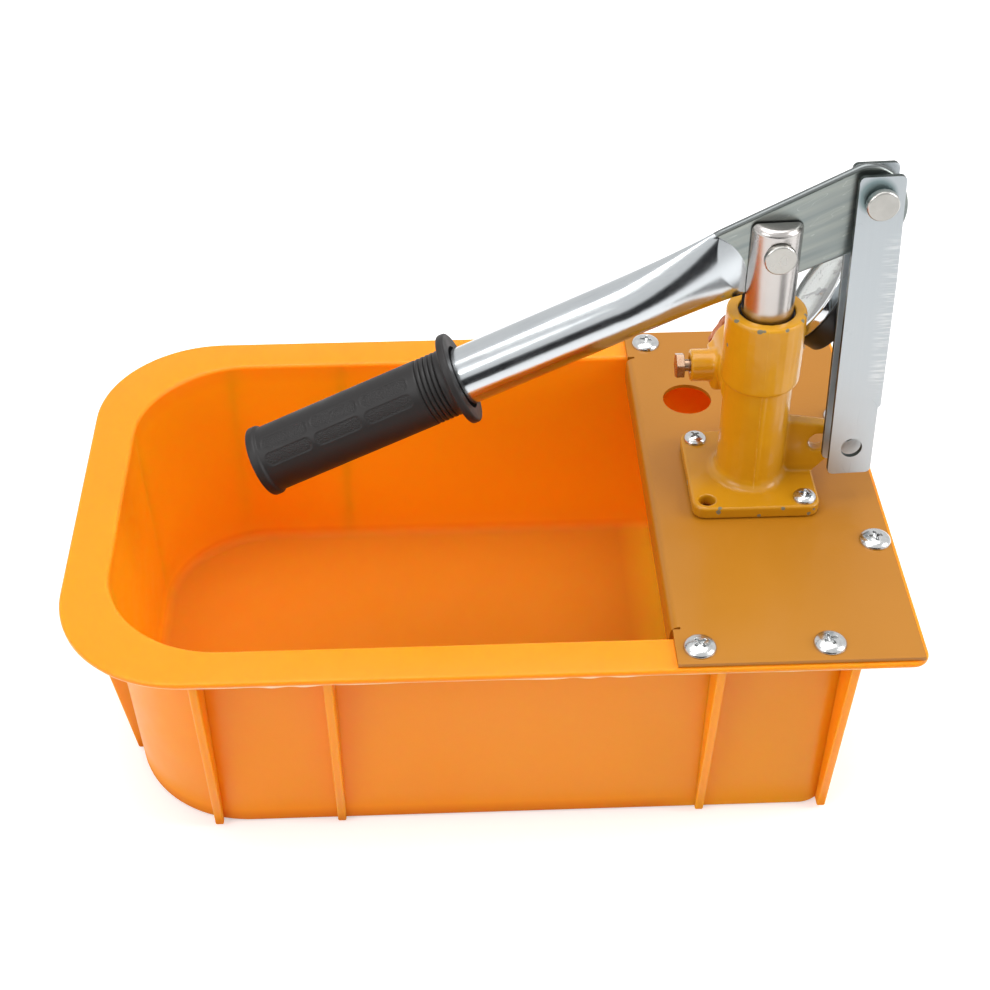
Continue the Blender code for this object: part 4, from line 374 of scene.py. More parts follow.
def casting_enamel():
    """Gloss enamel on a sand casting: golden mustard over a lumpy skin of 4 mm, painted deeper on
    the flange as a painted shade, with a pale seam line that is partly painted highlight, and
    chipped to grey iron on edges that were knocked."""
    made, tree, shader = new_material("gloss_enamel_on_casting", {
        "IOR": 1.5, "Specular IOR Level": 0.35, "Coat Weight": 0.15, "Coat Roughness": 0.10})
    place = add(tree, "TexCoord")
    broad = add(tree, "TexNoise", {"Scale": 60.0, "Detail": 4.0, "Vector": place})
    shade = add(tree, "Mix", {"data_type": "RGBA", 0: broad, 6: linear("CB8B0E"),
                              7: linear("DDA118")})
    lumps = add(tree, "TexNoise", {"Scale": 240.0, "Detail": 2.0, "Roughness": 0.45,
                                   "Vector": place})
    # Chips: patches of bare iron where a fine noise passes its limit close to a knocked edge.
    fine = add(tree, "TexNoise", {"Scale": 420.0, "Detail": 2.0, "Vector": place})
    nearest = None
    for point, reach in CHIPS:
        away = add(tree, "VectorMath", {"operation": "DISTANCE", 0: place, 1: point})
        share = add(tree, "MapRange", {0: (away, "Value"), 1: 0.0, 2: reach, 3: 1.0, 4: 0.0})
        nearest = share if nearest is None else add(tree, "Math", {
            "operation": "MAXIMUM", 0: (nearest, 0), 1: share})
    both = add(tree, "Math", {"operation": "ADD", 0: nearest, 1: fine})
    bare = add(tree, "MapRange", {0: both, 1: 0.93, 2: 1.0, 3: 0.0, 4: 1.0})
    # Painted shade: the flange is painted a deeper mustard than the barrel, against the light that
    # its top catches.
    spot = add(tree, "SeparateXYZ", {0: place})
    low = add(tree, "MapRange", {0: (spot, "Z"), 1: 0.1325, 2: 0.1365, 3: 0.7, 4: 0.0})
    deep = add(tree, "Mix", {"data_type": "RGBA", 0: low, 6: shade, 7: linear("B67C10")})
    # The mould's parting seam: an uneven raised line of 0.5 mm down the barrel's front. Its pale
    # colour is a painted highlight, where the ridge catches the light.
    aim = add(tree, "Math", {"operation": "MULTIPLY_ADD", 0: (spot, "Z"), 1: -SEAM_LEAN,
                             2: SEAM_FOOT})
    off = add(tree, "Math", {"operation": "SUBTRACT", 0: (spot, "X"), 1: aim})
    wobble = add(tree, "Math", {"operation": "MULTIPLY_ADD", 0: broad, 1: 0.0012, 2: -0.0006})
    aside = add(tree, "Math", {"operation": "ADD", 0: off, 1: wobble})
    beside = add(tree, "Math", {"operation": "ABSOLUTE", 0: aside})
    line = add(tree, "MapRange", {0: beside, 1: 0.00012, 2: 0.00045, 3: 1.0, 4: 0.0})
    front = add(tree, "MapRange", {0: (spot, "Y"), 1: -0.0125, 2: -0.0145, 3: 0.0, 4: 1.0})
    broken = add(tree, "MapRange", {0: lumps, 1: 0.42, 2: 0.56, 3: 0.15, 4: 1.0})
    above = add(tree, "MapRange", {0: (spot, "Z"), 1: 0.1325, 2: 0.1340, 3: 0.0, 4: 1.0})
    collar = add(tree, "MapRange", {0: (spot, "Z"), 1: 0.1900, 2: 0.1910, 3: 1.0, 4: 0.25})
    span = add(tree, "Math", {"operation": "MULTIPLY", 0: above, 1: collar})
    long = add(tree, "Math", {"operation": "MULTIPLY", 0: front, 1: span})
    held = add(tree, "Math", {"operation": "MULTIPLY", 0: line, 1: long})
    seam = add(tree, "Math", {"operation": "MULTIPLY", 0: held, 1: broken})
    # Painted highlight: the seam is painted paler than the coat.
    pale = add(tree, "Math", {"operation": "MULTIPLY", 0: seam, 1: 0.45})
    seam_painted_highlight = add(tree, "Mix", {"data_type": "RGBA", 0: pale, 6: deep, 7: linear("EDB748")})
    chipped = add(tree, "Mix", {"data_type": "RGBA", 0: bare, 6: seam_painted_highlight, 7: linear("7A745C")})
    join_nodes(tree, chipped, shader, "Base Color")
    rough = add(tree, "MapRange", {0: bare, 1: 0.0, 2: 1.0, 3: 0.26, 4: 0.55})
    join_nodes(tree, rough, shader, "Roughness")
    waves = add(tree, "TexNoise", {"Scale": 75.0, "Detail": 1.0, "Vector": place})
    skin = add(tree, "Bump", {"Strength": 0.20, "Distance": 0.0006, "Height": lumps})
    wavy = add(tree, "Bump", {"Strength": 0.25, "Distance": 0.0015, "Height": waves,
                              "Normal": skin})
    sunk = add(tree, "Bump", {"Strength": 0.5, "Distance": 0.0003, "invert": True, "Height": bare,
                              "Normal": wavy})
    ridge = add(tree, "Bump", {"Strength": 0.8, "Distance": 0.0003, "Height": seam, "Normal": sunk})
    join_nodes(tree, ridge, shader, "Normal")
    return made


def drawn_metal(name, base, light, place, along, rough, line_mm, line_strength, wander=0.1):
    """Bare or plated metal with fine lines along one axis of its own place: the lines' width is in
    millimetres across them and forty times that along them, and the gloss varies with them."""
    made, tree, shader = new_material(name, {"Metallic": 1.0})
    spot = add(tree, "TexCoord")
    own = add(tree, "Mapping", {"vector_type": "TEXTURE", "Location": place.translation,
                                "Rotation": place.to_euler(), "Vector": spot})
    fine = 1 / (line_mm * MM)
    stretch = tuple(fine / 40 if axis == along else fine for axis in range(3))
    lines = add(tree, "Mapping", {"Scale": stretch, "Vector": own})
    grain = add(tree, "TexNoise", {"Scale": 1.0, "Detail": 3.0, "Roughness": 0.6, "Vector": lines})
    cloud = add(tree, "TexNoise", {"Scale": 55.0, "Detail": 4.0, "Vector": own})
    mixed = add(tree, "Mix", {"data_type": "FLOAT", 0: 0.45, 2: grain, 3: cloud})
    shade = add(tree, "Mix", {"data_type": "RGBA", 0: mixed, 6: linear(base), 7: linear(light)})
    join_nodes(tree, shade, shader, "Base Color")
    gloss = add(tree, "MapRange", {0: mixed, 1: 0.3, 2: 0.7, 3: rough - wander / 2,
                                   4: rough + wander / 2})
    join_nodes(tree, gloss, shader, "Roughness")
    dents = add(tree, "TexNoise", {"Scale": 130.0, "Detail": 1.0, "Vector": own})
    first = add(tree, "Bump", {"Strength": line_strength, "Distance": 0.0001, "Height": grain})
    both = add(tree, "Bump", {"Strength": 0.10, "Distance": 0.0004, "Height": dents,
                              "Normal": first})
    join_nodes(tree, both, shader, "Normal")
    return made, tree, shader, own, shade, gloss, both


def bright_zinc_tube():
    """Bright zinc plate on drawn steel tube: a cool mirror with faint lengthwise draw lines of 0.4
    mm. The pressed blade is a duller grey green with soft bands of 3 to 6 mm along it, a few
    scratches, and a darker line along both its edges."""
    made, tree, shader, own, shade, gloss, _ = drawn_metal(
        "bright_zinc_on_tube", "B6BBBF", "D4D8DA", LEVER_PLACE, 0, 0.17, 0.4, 0.10)
    parts = add(tree, "SeparateXYZ", {0: own})
    # Beyond the crease: an arc across the blade, a parabola of the height.
    tall = add(tree, "Math", {"operation": "POWER", 0: (parts, "Z"), 1: 2.0})
    arc = add(tree, "Math", {"operation": "MULTIPLY_ADD", 0: tall, 1: CREASE_BOW / ROOT_TALL ** 2,
                             2: (parts, "X")})
    pressed = add(tree, "MapRange", {0: arc, 1: CREASE - 0.0002, 2: CREASE + 0.0002, 3: 0.0,
                                     4: 1.0})
    # Soft bands along the blade.
    long = add(tree, "Mapping", {"Scale": (9, 1, 210), "Vector": own})
    band = add(tree, "TexNoise", {"Scale": 1.0, "Detail": 2.0, "Vector": long})
    grey = add(tree, "MapRange", {0: band, 1: 0.32, 2: 0.68, 3: 0.0, 4: 1.0})
    zinc = add(tree, "Mix", {"data_type": "RGBA", 0: grey, 6: linear("7D8585"),
                             7: linear("9BA09A")})
    # Scratches: thin lines where a stretched noise passes one value.
    bend = add(tree, "Mapping", {"Scale": (60, 1, 240), "Rotation": (0, 0.35, 0), "Vector": own})
    cut = add(tree, "TexNoise", {"Scale": 1.0, "Detail": 1.0, "Vector": bend})
    off = add(tree, "Math", {"operation": "SUBTRACT", 0: cut, 1: 0.62})
    near = add(tree, "Math", {"operation": "ABSOLUTE", 0: off})
    line = add(tree, "MapRange", {0: near, 1: 0.002, 2: 0.010, 3: 0.28, 4: 0.0})
    marked = add(tree, "Mix", {"data_type": "RGBA", 0: line, 6: zinc, 7: linear("C9CDC9")})
    edge = add(tree, "Attribute", {"attribute_name": "edge"})
    rim = add(tree, "Mix", {"data_type": "RGBA", 0: (edge, "Fac"), 6: marked, 7: linear("6E7272")})
    both = add(tree, "Mix", {"data_type": "RGBA", 0: pressed, 6: shade, 7: rim})
    join_nodes(tree, both, shader, "Base Color")
    dull = add(tree, "Math", {"operation": "MULTIPLY_ADD", 0: pressed, 1: 0.14, 2: gloss})
    join_nodes(tree, dull, shader, "Roughness")
    return made


def zinc_flat_bar():
    """Dull zinc plate on rolled flat bar: an even pale blue grey with faint rolling lines, short
    level streaks of 1 mm beside the edge that the shear left, a few scratches, and a painted shadow
    beside the pin's head, a dark teal crescent."""
    made, tree, shader, own, shade, _, bump = drawn_metal(
        "dull_zinc_on_flat_bar", "B9C0C4", "C8CED1", LINK_PLACE, 2, 0.40, 0.9, 0.05, 0.10)
    parts = add(tree, "SeparateXYZ", {0: own})
    # Level streaks, 1 mm apart down the bar, that fade from the right edge inwards.
    down = add(tree, "Mapping", {"Scale": (70, 1, 900), "Vector": own})
    torn = add(tree, "TexNoise", {"Scale": 1.0, "Detail": 3.0, "Vector": down})
    reach = add(tree, "MapRange", {0: (parts, "X"), 1: 0.0030, 2: 0.0085, 3: 0.0, 4: 1.0})
    above = add(tree, "MapRange", {0: (parts, "Z"), 1: -0.016, 2: -0.024, 3: 0.0, 4: 1.0})
    below = add(tree, "MapRange", {0: (parts, "Z"), 1: -0.104, 2: -0.094, 3: 0.0, 4: 1.0})
    span = add(tree, "Math", {"operation": "MULTIPLY", 0: above, 1: below})
    zone = add(tree, "Math", {"operation": "MULTIPLY", 0: span, 1: reach})
    streak = add(tree, "MapRange", {0: torn, 1: 0.46, 2: 0.66, 3: 0.0, 4: 0.75})
    shown = add(tree, "Math", {"operation": "MULTIPLY", 0: streak, 1: zone})
    lighter = add(tree, "Mix", {"data_type": "RGBA", 0: shown, 6: shade, 7: linear("E6E9EA")})
    # Painted shadow: a dark teal crescent above and to the left of the pin's head, where the head
    # shades the bar.
    spot = add(tree, "VectorMath", {"operation": "DISTANCE", 0: own, 1: (-0.0022, -0.0072, 0.0022)})
    pin_painted_shadow = add(tree, "MapRange", {0: (spot, "Value"), 1: 0.0072, 2: 0.0098, 3: 0.75, 4: 0.0})
    pin_shadow_painted = add(tree, "Mix", {"data_type": "RGBA", 0: pin_painted_shadow, 6: lighter, 7: linear("6F8A8C")})
    # Scratches: sparse thin curved marks.
    bend = add(tree, "Mapping", {"Scale": (120, 1, 55), "Rotation": (0, 0.7, 0), "Vector": own})
    cut = add(tree, "TexNoise", {"Scale": 1.0, "Detail": 1.0, "Vector": bend})
    thin = add(tree, "Math", {"operation": "SUBTRACT", 0: cut, 1: 0.5})
    close = add(tree, "Math", {"operation": "ABSOLUTE", 0: thin})
    line = add(tree, "MapRange", {0: close, 1: 0.002, 2: 0.008, 3: 0.22, 4: 0.0})
    few = add(tree, "TexNoise", {"Scale": 48.0, "Detail": 0.0, "Vector": own})
    where = add(tree, "MapRange", {0: few, 1: 0.58, 2: 0.66, 3: 0.0, 4: 1.0})
    mark = add(tree, "Math", {"operation": "MULTIPLY", 0: line, 1: where})
    scratched = add(tree, "Mix", {"data_type": "RGBA", 0: mark, 6: pin_shadow_painted, 7: linear("6F7578")})
    join_nodes(tree, scratched, shader, "Base Color")
    raised = add(tree, "Bump", {"Strength": 0.25, "Distance": 0.0003, "Height": shown,
                                "Normal": bump})
    join_nodes(tree, raised, shader, "Normal")
    return made


def ground_plunger_steel():
    """Ground and polished steel: a soft mirror with grinding lines of 0.5 mm round it."""
    return drawn_metal("ground_steel", "ABA7A5", "C6C2BE",
                       Matrix.Translation((PUMP_X, 0, 0)), 0, 0.25, 0.5, 0.05, 0.08)[0]


def turned_pin_plate():
    """Zinc plate on turned pins: faint rings of 0.9 mm on the heads and a soft grey shine."""
    made, tree, shader = new_material("zinc_on_turned_pin", {"Metallic": 1.0})
    place = add(tree, "TexCoord")
    rings = None
    for pin in (LEVER_PIN, LINK_PIN):
        own = add(tree, "Mapping", {"vector_type": "TEXTURE", "Location": pin, "Vector": place})
        flat = add(tree, "VectorMath", {"operation": "MULTIPLY", 0: own, 1: (1, 0, 1)})
        away = add(tree, "VectorMath", {"operation": "LENGTH", 0: flat})
        rings = away if rings is None else add(tree, "Math", {
            "operation": "MINIMUM", 0: (rings, "Value"), 1: (away, "Value")})
    groove = add(tree, "Math", {"operation": "MULTIPLY", 0: (rings, 0), 1: FULL / 0.0009})
    wave = add(tree, "Math", {"operation": "SINE", 0: groove})
    cloud = add(tree, "TexNoise", {"Scale": 160.0, "Detail": 4.0, "Vector": place})
    shade = add(tree, "Mix", {"data_type": "RGBA", 0: cloud, 6: linear("A5A39E"),
                              7: linear("C5C4BF")})
    join_nodes(tree, shade, shader, "Base Color")
    gloss = add(tree, "MapRange", {0: cloud, 1: 0.3, 2: 0.7, 3: 0.24, 4: 0.40})
    join_nodes(tree, gloss, shader, "Roughness")
    cut = add(tree, "Bump", {"Strength": 0.12, "Distance": 0.0001, "Height": wave})
    join_nodes(tree, cut, shader, "Normal")
    return made


def patchy(name, settings, dark, light, rough, spread, patch_mm, bump, deep):
    """A material whose colour, gloss and height vary in patches of a few millimetres."""
    made, tree, shader = new_material(name, settings)
    place = add(tree, "TexCoord")
    cloud = add(tree, "TexNoise", {"Scale": 1 / (patch_mm * MM), "Detail": 4.0, "Vector": place})
    shade = add(tree, "Mix", {"data_type": "RGBA", 0: cloud, 6: linear(dark), 7: linear(light)})
    join_nodes(tree, shade, shader, "Base Color")
    gloss = add(tree, "MapRange", {0: cloud, 1: 0.3, 2: 0.7, 3: rough - spread, 4: rough + spread})
    join_nodes(tree, gloss, shader, "Roughness")
    lift = add(tree, "Bump", {"Strength": bump, "Distance": deep, "Height": cloud})
    join_nodes(tree, lift, shader, "Normal")
    return made


def plain_metal(name, dark, light, rough, spread=0.08, patch_mm=4.0, bump=0.08):
    """Plain metal, patchy by a few millimetres."""
    return patchy(name, {"Metallic": 1.0}, dark, light, rough, spread, patch_mm, bump, 0.0002)


def plain_solid(name, dark, light, rough, spread=0.05, patch_mm=6.0, bump=0.08):
    """Plain paint, plastic or rubber, patchy by a few millimetres."""
    return patchy(name, {"IOR": 1.5}, dark, light, rough, spread, patch_mm, bump, 0.0003)


def moulded_rubber():
    """Moulded black rubber: a warm near black, dull, with pebble grain of 0.7 mm in the lozenges
    and a smoother skin between them."""
    made, tree, shader = new_material("moulded_rubber", {
        "IOR": 1.52, "Specular IOR Level": 0.40})
    place = add(tree, "TexCoord")
    cloud = add(tree, "TexNoise", {"Scale": 90.0, "Detail": 4.0, "Vector": place})
    shade = add(tree, "Mix", {"data_type": "RGBA", 0: cloud, 6: linear("0D0B0B"),
                              7: linear("191515")})
    join_nodes(tree, shade, shader, "Base Color")
    gloss = add(tree, "MapRange", {0: cloud, 1: 0.3, 2: 0.7, 3: 0.46, 4: 0.62})
    join_nodes(tree, gloss, shader, "Roughness")
    # The pebble grain shows only where the piece's own attribute says that a lozenge is.
    cells = add(tree, "TexVoronoi", {"Scale": 1400.0, "Vector": place})
    inside = add(tree, "Attribute", {"attribute_name": "lozenge"})
    grain = add(tree, "Math", {"operation": "MULTIPLY", 0: cells, 1: (inside, "Fac")})
    pebble = add(tree, "Bump", {"Strength": 0.55, "Distance": 0.0005, "Height": grain})
    soft = add(tree, "Bump", {"Strength": 0.15, "Distance": 0.0006, "Height": cloud,
                              "Normal": pebble})
    join_nodes(tree, soft, shader, "Normal")
    return made


def window_glass():
    """Flat window glass: clear, with the sharp gloss of a float surface and a little dust."""
    made, tree, shader = new_material("window_glass", {
        "Base Color": linear("F4F8F8"), "IOR": 1.5, "Transmission Weight": 0.92})
    place = add(tree, "TexCoord")
    dust = add(tree, "TexNoise", {"Scale": 300.0, "Detail": 3.0, "Vector": place})
    gloss = add(tree, "MapRange", {0: dust, 1: 0.45, 2: 0.75, 3: 0.02, 4: 0.08})
    join_nodes(tree, gloss, shader, "Roughness")
    return made


# Where the casting's paint is chipped, and how far each chip spreads.
CHIPS = (
    ((0.1290, -0.0180, 0.2276), 0.0024), ((0.1312, -0.0186, 0.2281), 0.0016),
    ((0.1419, -0.0178, 0.2278), 0.0024), ((0.1505, -0.0105, 0.2280), 0.0024),
    ((0.1527, -0.0062, 0.2282), 0.0024), ((0.1194, -0.0096, 0.2281), 0.0022),
    ((0.1170, -0.0055, 0.2118), 0.0016), ((0.1038, -0.0058, 0.1284), 0.0026),
    ((0.1038, -0.0109, 0.1244), 0.0020), ((0.1161, -0.0310, 0.1298), 0.0024),
    ((0.1166, -0.0304, 0.1320), 0.0018), ((0.1361, -0.0310, 0.1269), 0.0018),
    ((0.1477, -0.0310, 0.1309), 0.0018), ((0.1607, -0.0310, 0.1276), 0.0020),
    ((0.1638, -0.0310, 0.1296), 0.0022),
)
# The parting seam's place along X at the frame's foot, and how far it leans back with height.
SEAM_FOOT, SEAM_LEAN = 0.13695, 0.016


# The tank.

TANK_LENGTH, TANK_WIDTH, TANK_HEIGHT = 0.400, 0.2614, 0.1227
WALL, DRAFT, RIM = 0.003, 0.0045, 0.003
OVERHANG, PUMP_OVERHANG = 0.0185, 0.024
# Corner radii seen from above, the tighter ones at the pump's end, then the roundings of edges.
WALL_CORNER, WALL_PUMP_CORNER, LEAST_CORNER = 0.060, 0.016, 0.0006
RIM_CORNER, RIM_PUMP_CORNER = 0.063, 0.008
FOOT_ROUND, RIM_ROUND, RIM_INNER_ROUND, FLOOR_ROUND = 0.0035, 0.0013, 0.0022, 0.0045
SINK_DEPTH, SINK_WIDTH = 0.00035, 0.0035
RIB_THICK, RIB_FOOT, RIB_PROUD, RIB_SETBACK, RIB_EASE = 0.0042, 0.0015, 0.0024, 0.0022, 0.0009
JOIN_SINK = 0.001
# How far a gusset reaches into the wall at its foot and at its top. Behind the side gussets
# nearest the pump the wall already rounds into its corner, so their roots are longer.
RIB_ROOT = (0.0015, 0.0015)
LAST_RIB_ROOT = (0.0064, 0.0031)
SIDE_RIBS = tuple(TANK_LENGTH * share - TANK_LENGTH / 2 for share in (0.166, 0.318, 0.764, 0.9175))
END_RIBS = tuple(TANK_WIDTH / 2 * share for share in (-0.42, 0.42))
PUMP_END_RIBS = tuple(TANK_WIDTH / 2 * share for share in (-0.29, 0.29))
ARC_STEPS, SIDE_STEPS = 28, 72


def tub_outline(left, right, half, left_radius, right_radius):
    """A rounded rectangle: quarter circles at its corners, joined by evenly stepped sides."""
    quarter = np.linspace(0, QUARTER, ARC_STEPS + 1)
    west, east = left + left_radius, right - right_radius
    corners = []
    for x, y, radius, start in ((west, left_radius - half, left_radius, HALF),
                                (east, right_radius - half, right_radius, 3 * QUARTER),
                                (east, half - right_radius, right_radius, 0),
                                (west, half - left_radius, left_radius, QUARTER)):
        corners.append(np.stack([x + radius * np.cos(start + quarter),
                                 y + radius * np.sin(start + quarter)], axis=-1))
    pieces = []
    for this, after in zip(corners, corners[1:] + corners[:1]):
        share = np.linspace(0, 1, SIDE_STEPS + 2)[1:-1, None]
        pieces += [this, this[-1] * (1 - share) + after[0] * share]
    return np.vstack(pieces)


def wall_row(height, inset, sunk=0.0):
    """The wall's outline at a height, with shallow sink marks opposite each gusset."""
    draw = DRAFT * (TANK_HEIGHT - height) / TANK_HEIGHT
    outline = tub_outline(-TANK_LENGTH / 2 + OVERHANG + draw + inset,
                          TANK_LENGTH / 2 - PUMP_OVERHANG - draw - inset,
                          TANK_WIDTH / 2 - OVERHANG - draw - inset, WALL_CORNER - inset,
                          max(WALL_PUMP_CORNER - inset, LEAST_CORNER))
    if sunk:
        x, y = outline.T
        marks = sum(np.exp(-((x - rib) / SINK_WIDTH) ** 2) for rib in SIDE_RIBS)
        outline[:, 1] += np.sign(y) * sunk * marks * (np.abs(y) > TANK_WIDTH / 2 * 0.8)
        marks = sum(np.exp(-((y - rib) / SINK_WIDTH) ** 2) for rib in END_RIBS)
        outline[:, 0] -= sunk * marks * (x < -TANK_LENGTH / 2 * 0.85)
    return np.column_stack([outline, np.full(len(outline), height)])


def rim_row(height, inset):
    """The rim's outline at a height."""
    outline = tub_outline(-TANK_LENGTH / 2 + inset, TANK_LENGTH / 2 - inset, TANK_WIDTH / 2 - inset,
                          RIM_CORNER - inset, RIM_PUMP_CORNER - inset)
    return np.column_stack([outline, np.full(len(outline), height)])


def tank_mesh():
    """The tub's skin: rows of outlines from under the foot, up the wall, round the rim, down the
    inside and over the floor, each radius a row of small steps of sine and cosine."""
    fine = np.linspace(0, 1, 9)
    foot, edge, inner, floor = FOOT_ROUND, RIM_ROUND, RIM_INNER_ROUND, FLOOR_ROUND
    rows = [wall_row(0, foot + 0.0535 * share) for share in (1, 0.5, 0.2)]
    for turn in -QUARTER + QUARTER * fine:
        rows.append(wall_row(foot + foot * math.sin(turn), foot - foot * math.cos(turn)))
    rows += [wall_row(height, 0) for height in np.linspace(0.012, TANK_HEIGHT - RIM - 0.001, 8)]
    rows.append(wall_row(TANK_HEIGHT - RIM, -0.0005))
    for turn in -QUARTER + QUARTER * fine:
        rows.append(rim_row(TANK_HEIGHT - RIM + edge + edge * math.sin(turn),
                            edge - edge * math.cos(turn)))
    for turn in QUARTER * fine:
        rows.append(rim_row(TANK_HEIGHT - edge + edge * math.sin(turn),
                            edge - edge * math.cos(turn)))
    for turn in QUARTER + QUARTER * fine:
        rows.append(wall_row(TANK_HEIGHT - inner + inner * math.sin(turn),
                             WALL - inner - inner * math.cos(turn)))
    first_inside = len(rows)
    rows += [wall_row(height, WALL, SINK_DEPTH) for height in
             np.linspace(TANK_HEIGHT - 0.012, WALL + floor + 0.006, 12)]
    for turn in -QUARTER * fine:
        rows.append(wall_row(WALL + floor + floor * math.sin(turn),
                             WALL + floor - floor * math.cos(turn)))
    rows += [wall_row(WALL, WALL + floor + 0.0488 * share) for share in (0.25, 0.6, 1)]
    grid = np.stack(rows)
    mesh = skin_mesh("tank_skin", grid, capped=True)
    mark_points(mesh, "inside", np.repeat(np.arange(len(rows)) >= first_inside, grid.shape[1]))
    return finish_mesh(mesh, 40)


def gusset_mesh(name, half_span, overhang, place, root):
    """One gusset: its side outline, thickened, with all its edges eased. Its root reaches into the
    wall by the given lengths at its foot and at its top."""
    wall_top = half_span - overhang
    wall_foot = wall_top - DRAFT
    under = TANK_HEIGHT - RIM
    outline = np.array([(wall_foot - root[0], RIB_FOOT), (wall_foot + RIB_PROUD, RIB_FOOT),
                        (half_span - RIB_SETBACK, under + JOIN_SINK),
                        (wall_top - root[1], under + JOIN_SINK)])
    count = len(outline)
    points = np.array([(x, side * RIB_THICK / 2, z) for side in (-1, 1) for x, z in outline])
    faces = [list(range(count))[::-1], list(range(count, 2 * count))]
    faces += [[at, (at + 1) % count, count + (at + 1) % count, count + at] for at in range(count)]
    mesh = bpy.data.meshes.new(name)
    mesh.from_pydata(points, [], faces)
    skin = bmesh.new()
    skin.from_mesh(mesh)
    bmesh.ops.recalc_face_normals(skin, faces=skin.faces)
    bmesh.ops.bevel(skin, geom=skin.edges[:], offset=RIB_EASE, segments=4, profile=0.5,
                    affect="EDGES")
    skin.to_mesh(mesh)
    skin.free()
    mesh.transform(place)
    mesh.shade_smooth()
    mesh.set_sharp_from_angle(angle=math.radians(40))
    return mesh


def flash_mesh():
    """A ragged film along the rim's lower front edge: its depth is a sum of sines of the length
    along the edge, cut off below nothing."""
    row = rim_row(TANK_HEIGHT - RIM + 0.0006, 0.00035)
    x, y = row[:, 0], row[:, 1]
    keep = (y < -TANK_WIDTH / 2 * 0.55) & (x < 0.176)
    path = row[keep]
    path = path[np.argsort(path[:, 0])]
    along = np.concatenate([[0], np.cumsum(np.linalg.norm(np.diff(path, axis=0), axis=1))])
    even = np.linspace(0, along[-1], 900)
    path = np.stack([np.interp(even, along, path[:, axis]) for axis in range(3)], axis=-1)
    ragged = (0.5 + 0.5 * np.sin(even * 260 + 2 * np.sin(even * 91)))
    ragged *= 0.5 + 0.5 * np.sin(even * 47 + 1.3)
    burst = np.clip(np.sin(even * 33 + 0.7) * np.sin(even * 12.7 + 2.1) - 0.35, 0, 1)
    depth = 0.00035 + 0.0007 * ragged + 0.0012 * burst
    fade = np.clip(np.minimum(even, even[-1] - even) / 0.02, 0, 1)
    depth = depth * fade
    top = path + (0, 0, 0.0003)
    low = path - depth[:, None] * np.array((0, 0.12, 1))
    aside = np.array((0, 0.00012, 0))
    grid = np.stack([top, low, low + aside, top + aside], axis=1)
    mesh = skin_mesh("rim_flash", grid, capped=True)
    skin = bmesh.new()
    skin.from_mesh(mesh)
    bmesh.ops.recalc_face_normals(skin, faces=skin.faces)
    skin.to_mesh(mesh)
    skin.free()
    return mesh


def make_tank():
    """The tub, its gussets and the flash that the mould left."""
    plastic = moulded_polypropylene()
    show("tank_moulding", tank_mesh(), plastic, "tank")
    places = [(f"gusset_front_{n}", TANK_WIDTH / 2, OVERHANG, Matrix.Translation((x, 0, 0))
               @ Matrix.Rotation(-QUARTER, 4, "Z")) for n, x in enumerate(SIDE_RIBS, 1)]
    places += [(f"gusset_back_{n}", TANK_WIDTH / 2, OVERHANG, Matrix.Translation((x, 0, 0))
                @ Matrix.Rotation(QUARTER, 4, "Z")) for n, x in enumerate(SIDE_RIBS, 1)]
    places += [(f"gusset_end_{n}", TANK_LENGTH / 2, OVERHANG, Matrix.Translation((0, y, 0))
                @ Matrix.Rotation(HALF, 4, "Z")) for n, y in enumerate(END_RIBS, 1)]
    places += [(f"gusset_pump_end_{n}", TANK_LENGTH / 2, PUMP_OVERHANG,
                Matrix.Translation((0, y, 0))) for n, y in enumerate(PUMP_END_RIBS, 1)]
    for name, half_span, overhang, place in places:
        root = LAST_RIB_ROOT if name in ("gusset_front_4", "gusset_back_4") else RIB_ROOT
        show(name, gusset_mesh(name, half_span, overhang, place, root), plastic, "tank")
    extra("rim_flash", flash_mesh(), mould_flash(), "base")


# The lever and its grip.

TUBE, TUBE_WALL, BLADE = 0.014, 0.002, 0.002
PRESS_START, PRESS_END, PRESS_SHARE = 0.078, 0.0205, 1.5
PIN_SPACING, PIN_OFFSET, HANDLE = 0.0502, 0.0034, 0.2608
CREASE, CREASE_BOW, SPOON_SLOPE, OVAL_SHARE = -0.0157, 0.0076, 0.33, 0.93
END_BEYOND, END_ROUND = 0.0121, 0.0158
BLADE_END = PIN_SPACING + END_BEYOND - END_ROUND
# Stations between which the rows lie close together for the crease, and where the bore ends.
CREASE_ROWS, BORE_END = (-0.0150, -0.0260), -0.0265
EDGE_LINE, EDGE_FADE, LEVER_SHARP = 0.0011, 0.0003, 14
PIN_HOLE_RADIUS = 0.00525
ROOT_TALL, END_TALL = 0.0185, 0.02078


def lever_sections(stations, inset=0.0):
    """Half thickness and half height at each station: round tube, pressed oval, a blade that
    grows wider in a straight line, and an elliptic tip."""
    share = np.clip((stations + PRESS_START) / (PRESS_START - PRESS_END), 0, 1) ** PRESS_SHARE
    thick = TUBE - (TUBE - BLADE) * share
    flare = np.clip((stations + PRESS_END) / (BLADE_END + PRESS_END), 0, 1)
    tall = TUBE + (ROOT_TALL + (END_TALL - ROOT_TALL) * flare - TUBE) * share
    past = np.clip((stations - BLADE_END) / END_ROUND, 0, 1)
    return thick - inset, tall * np.sqrt(1 - past ** 2) - inset


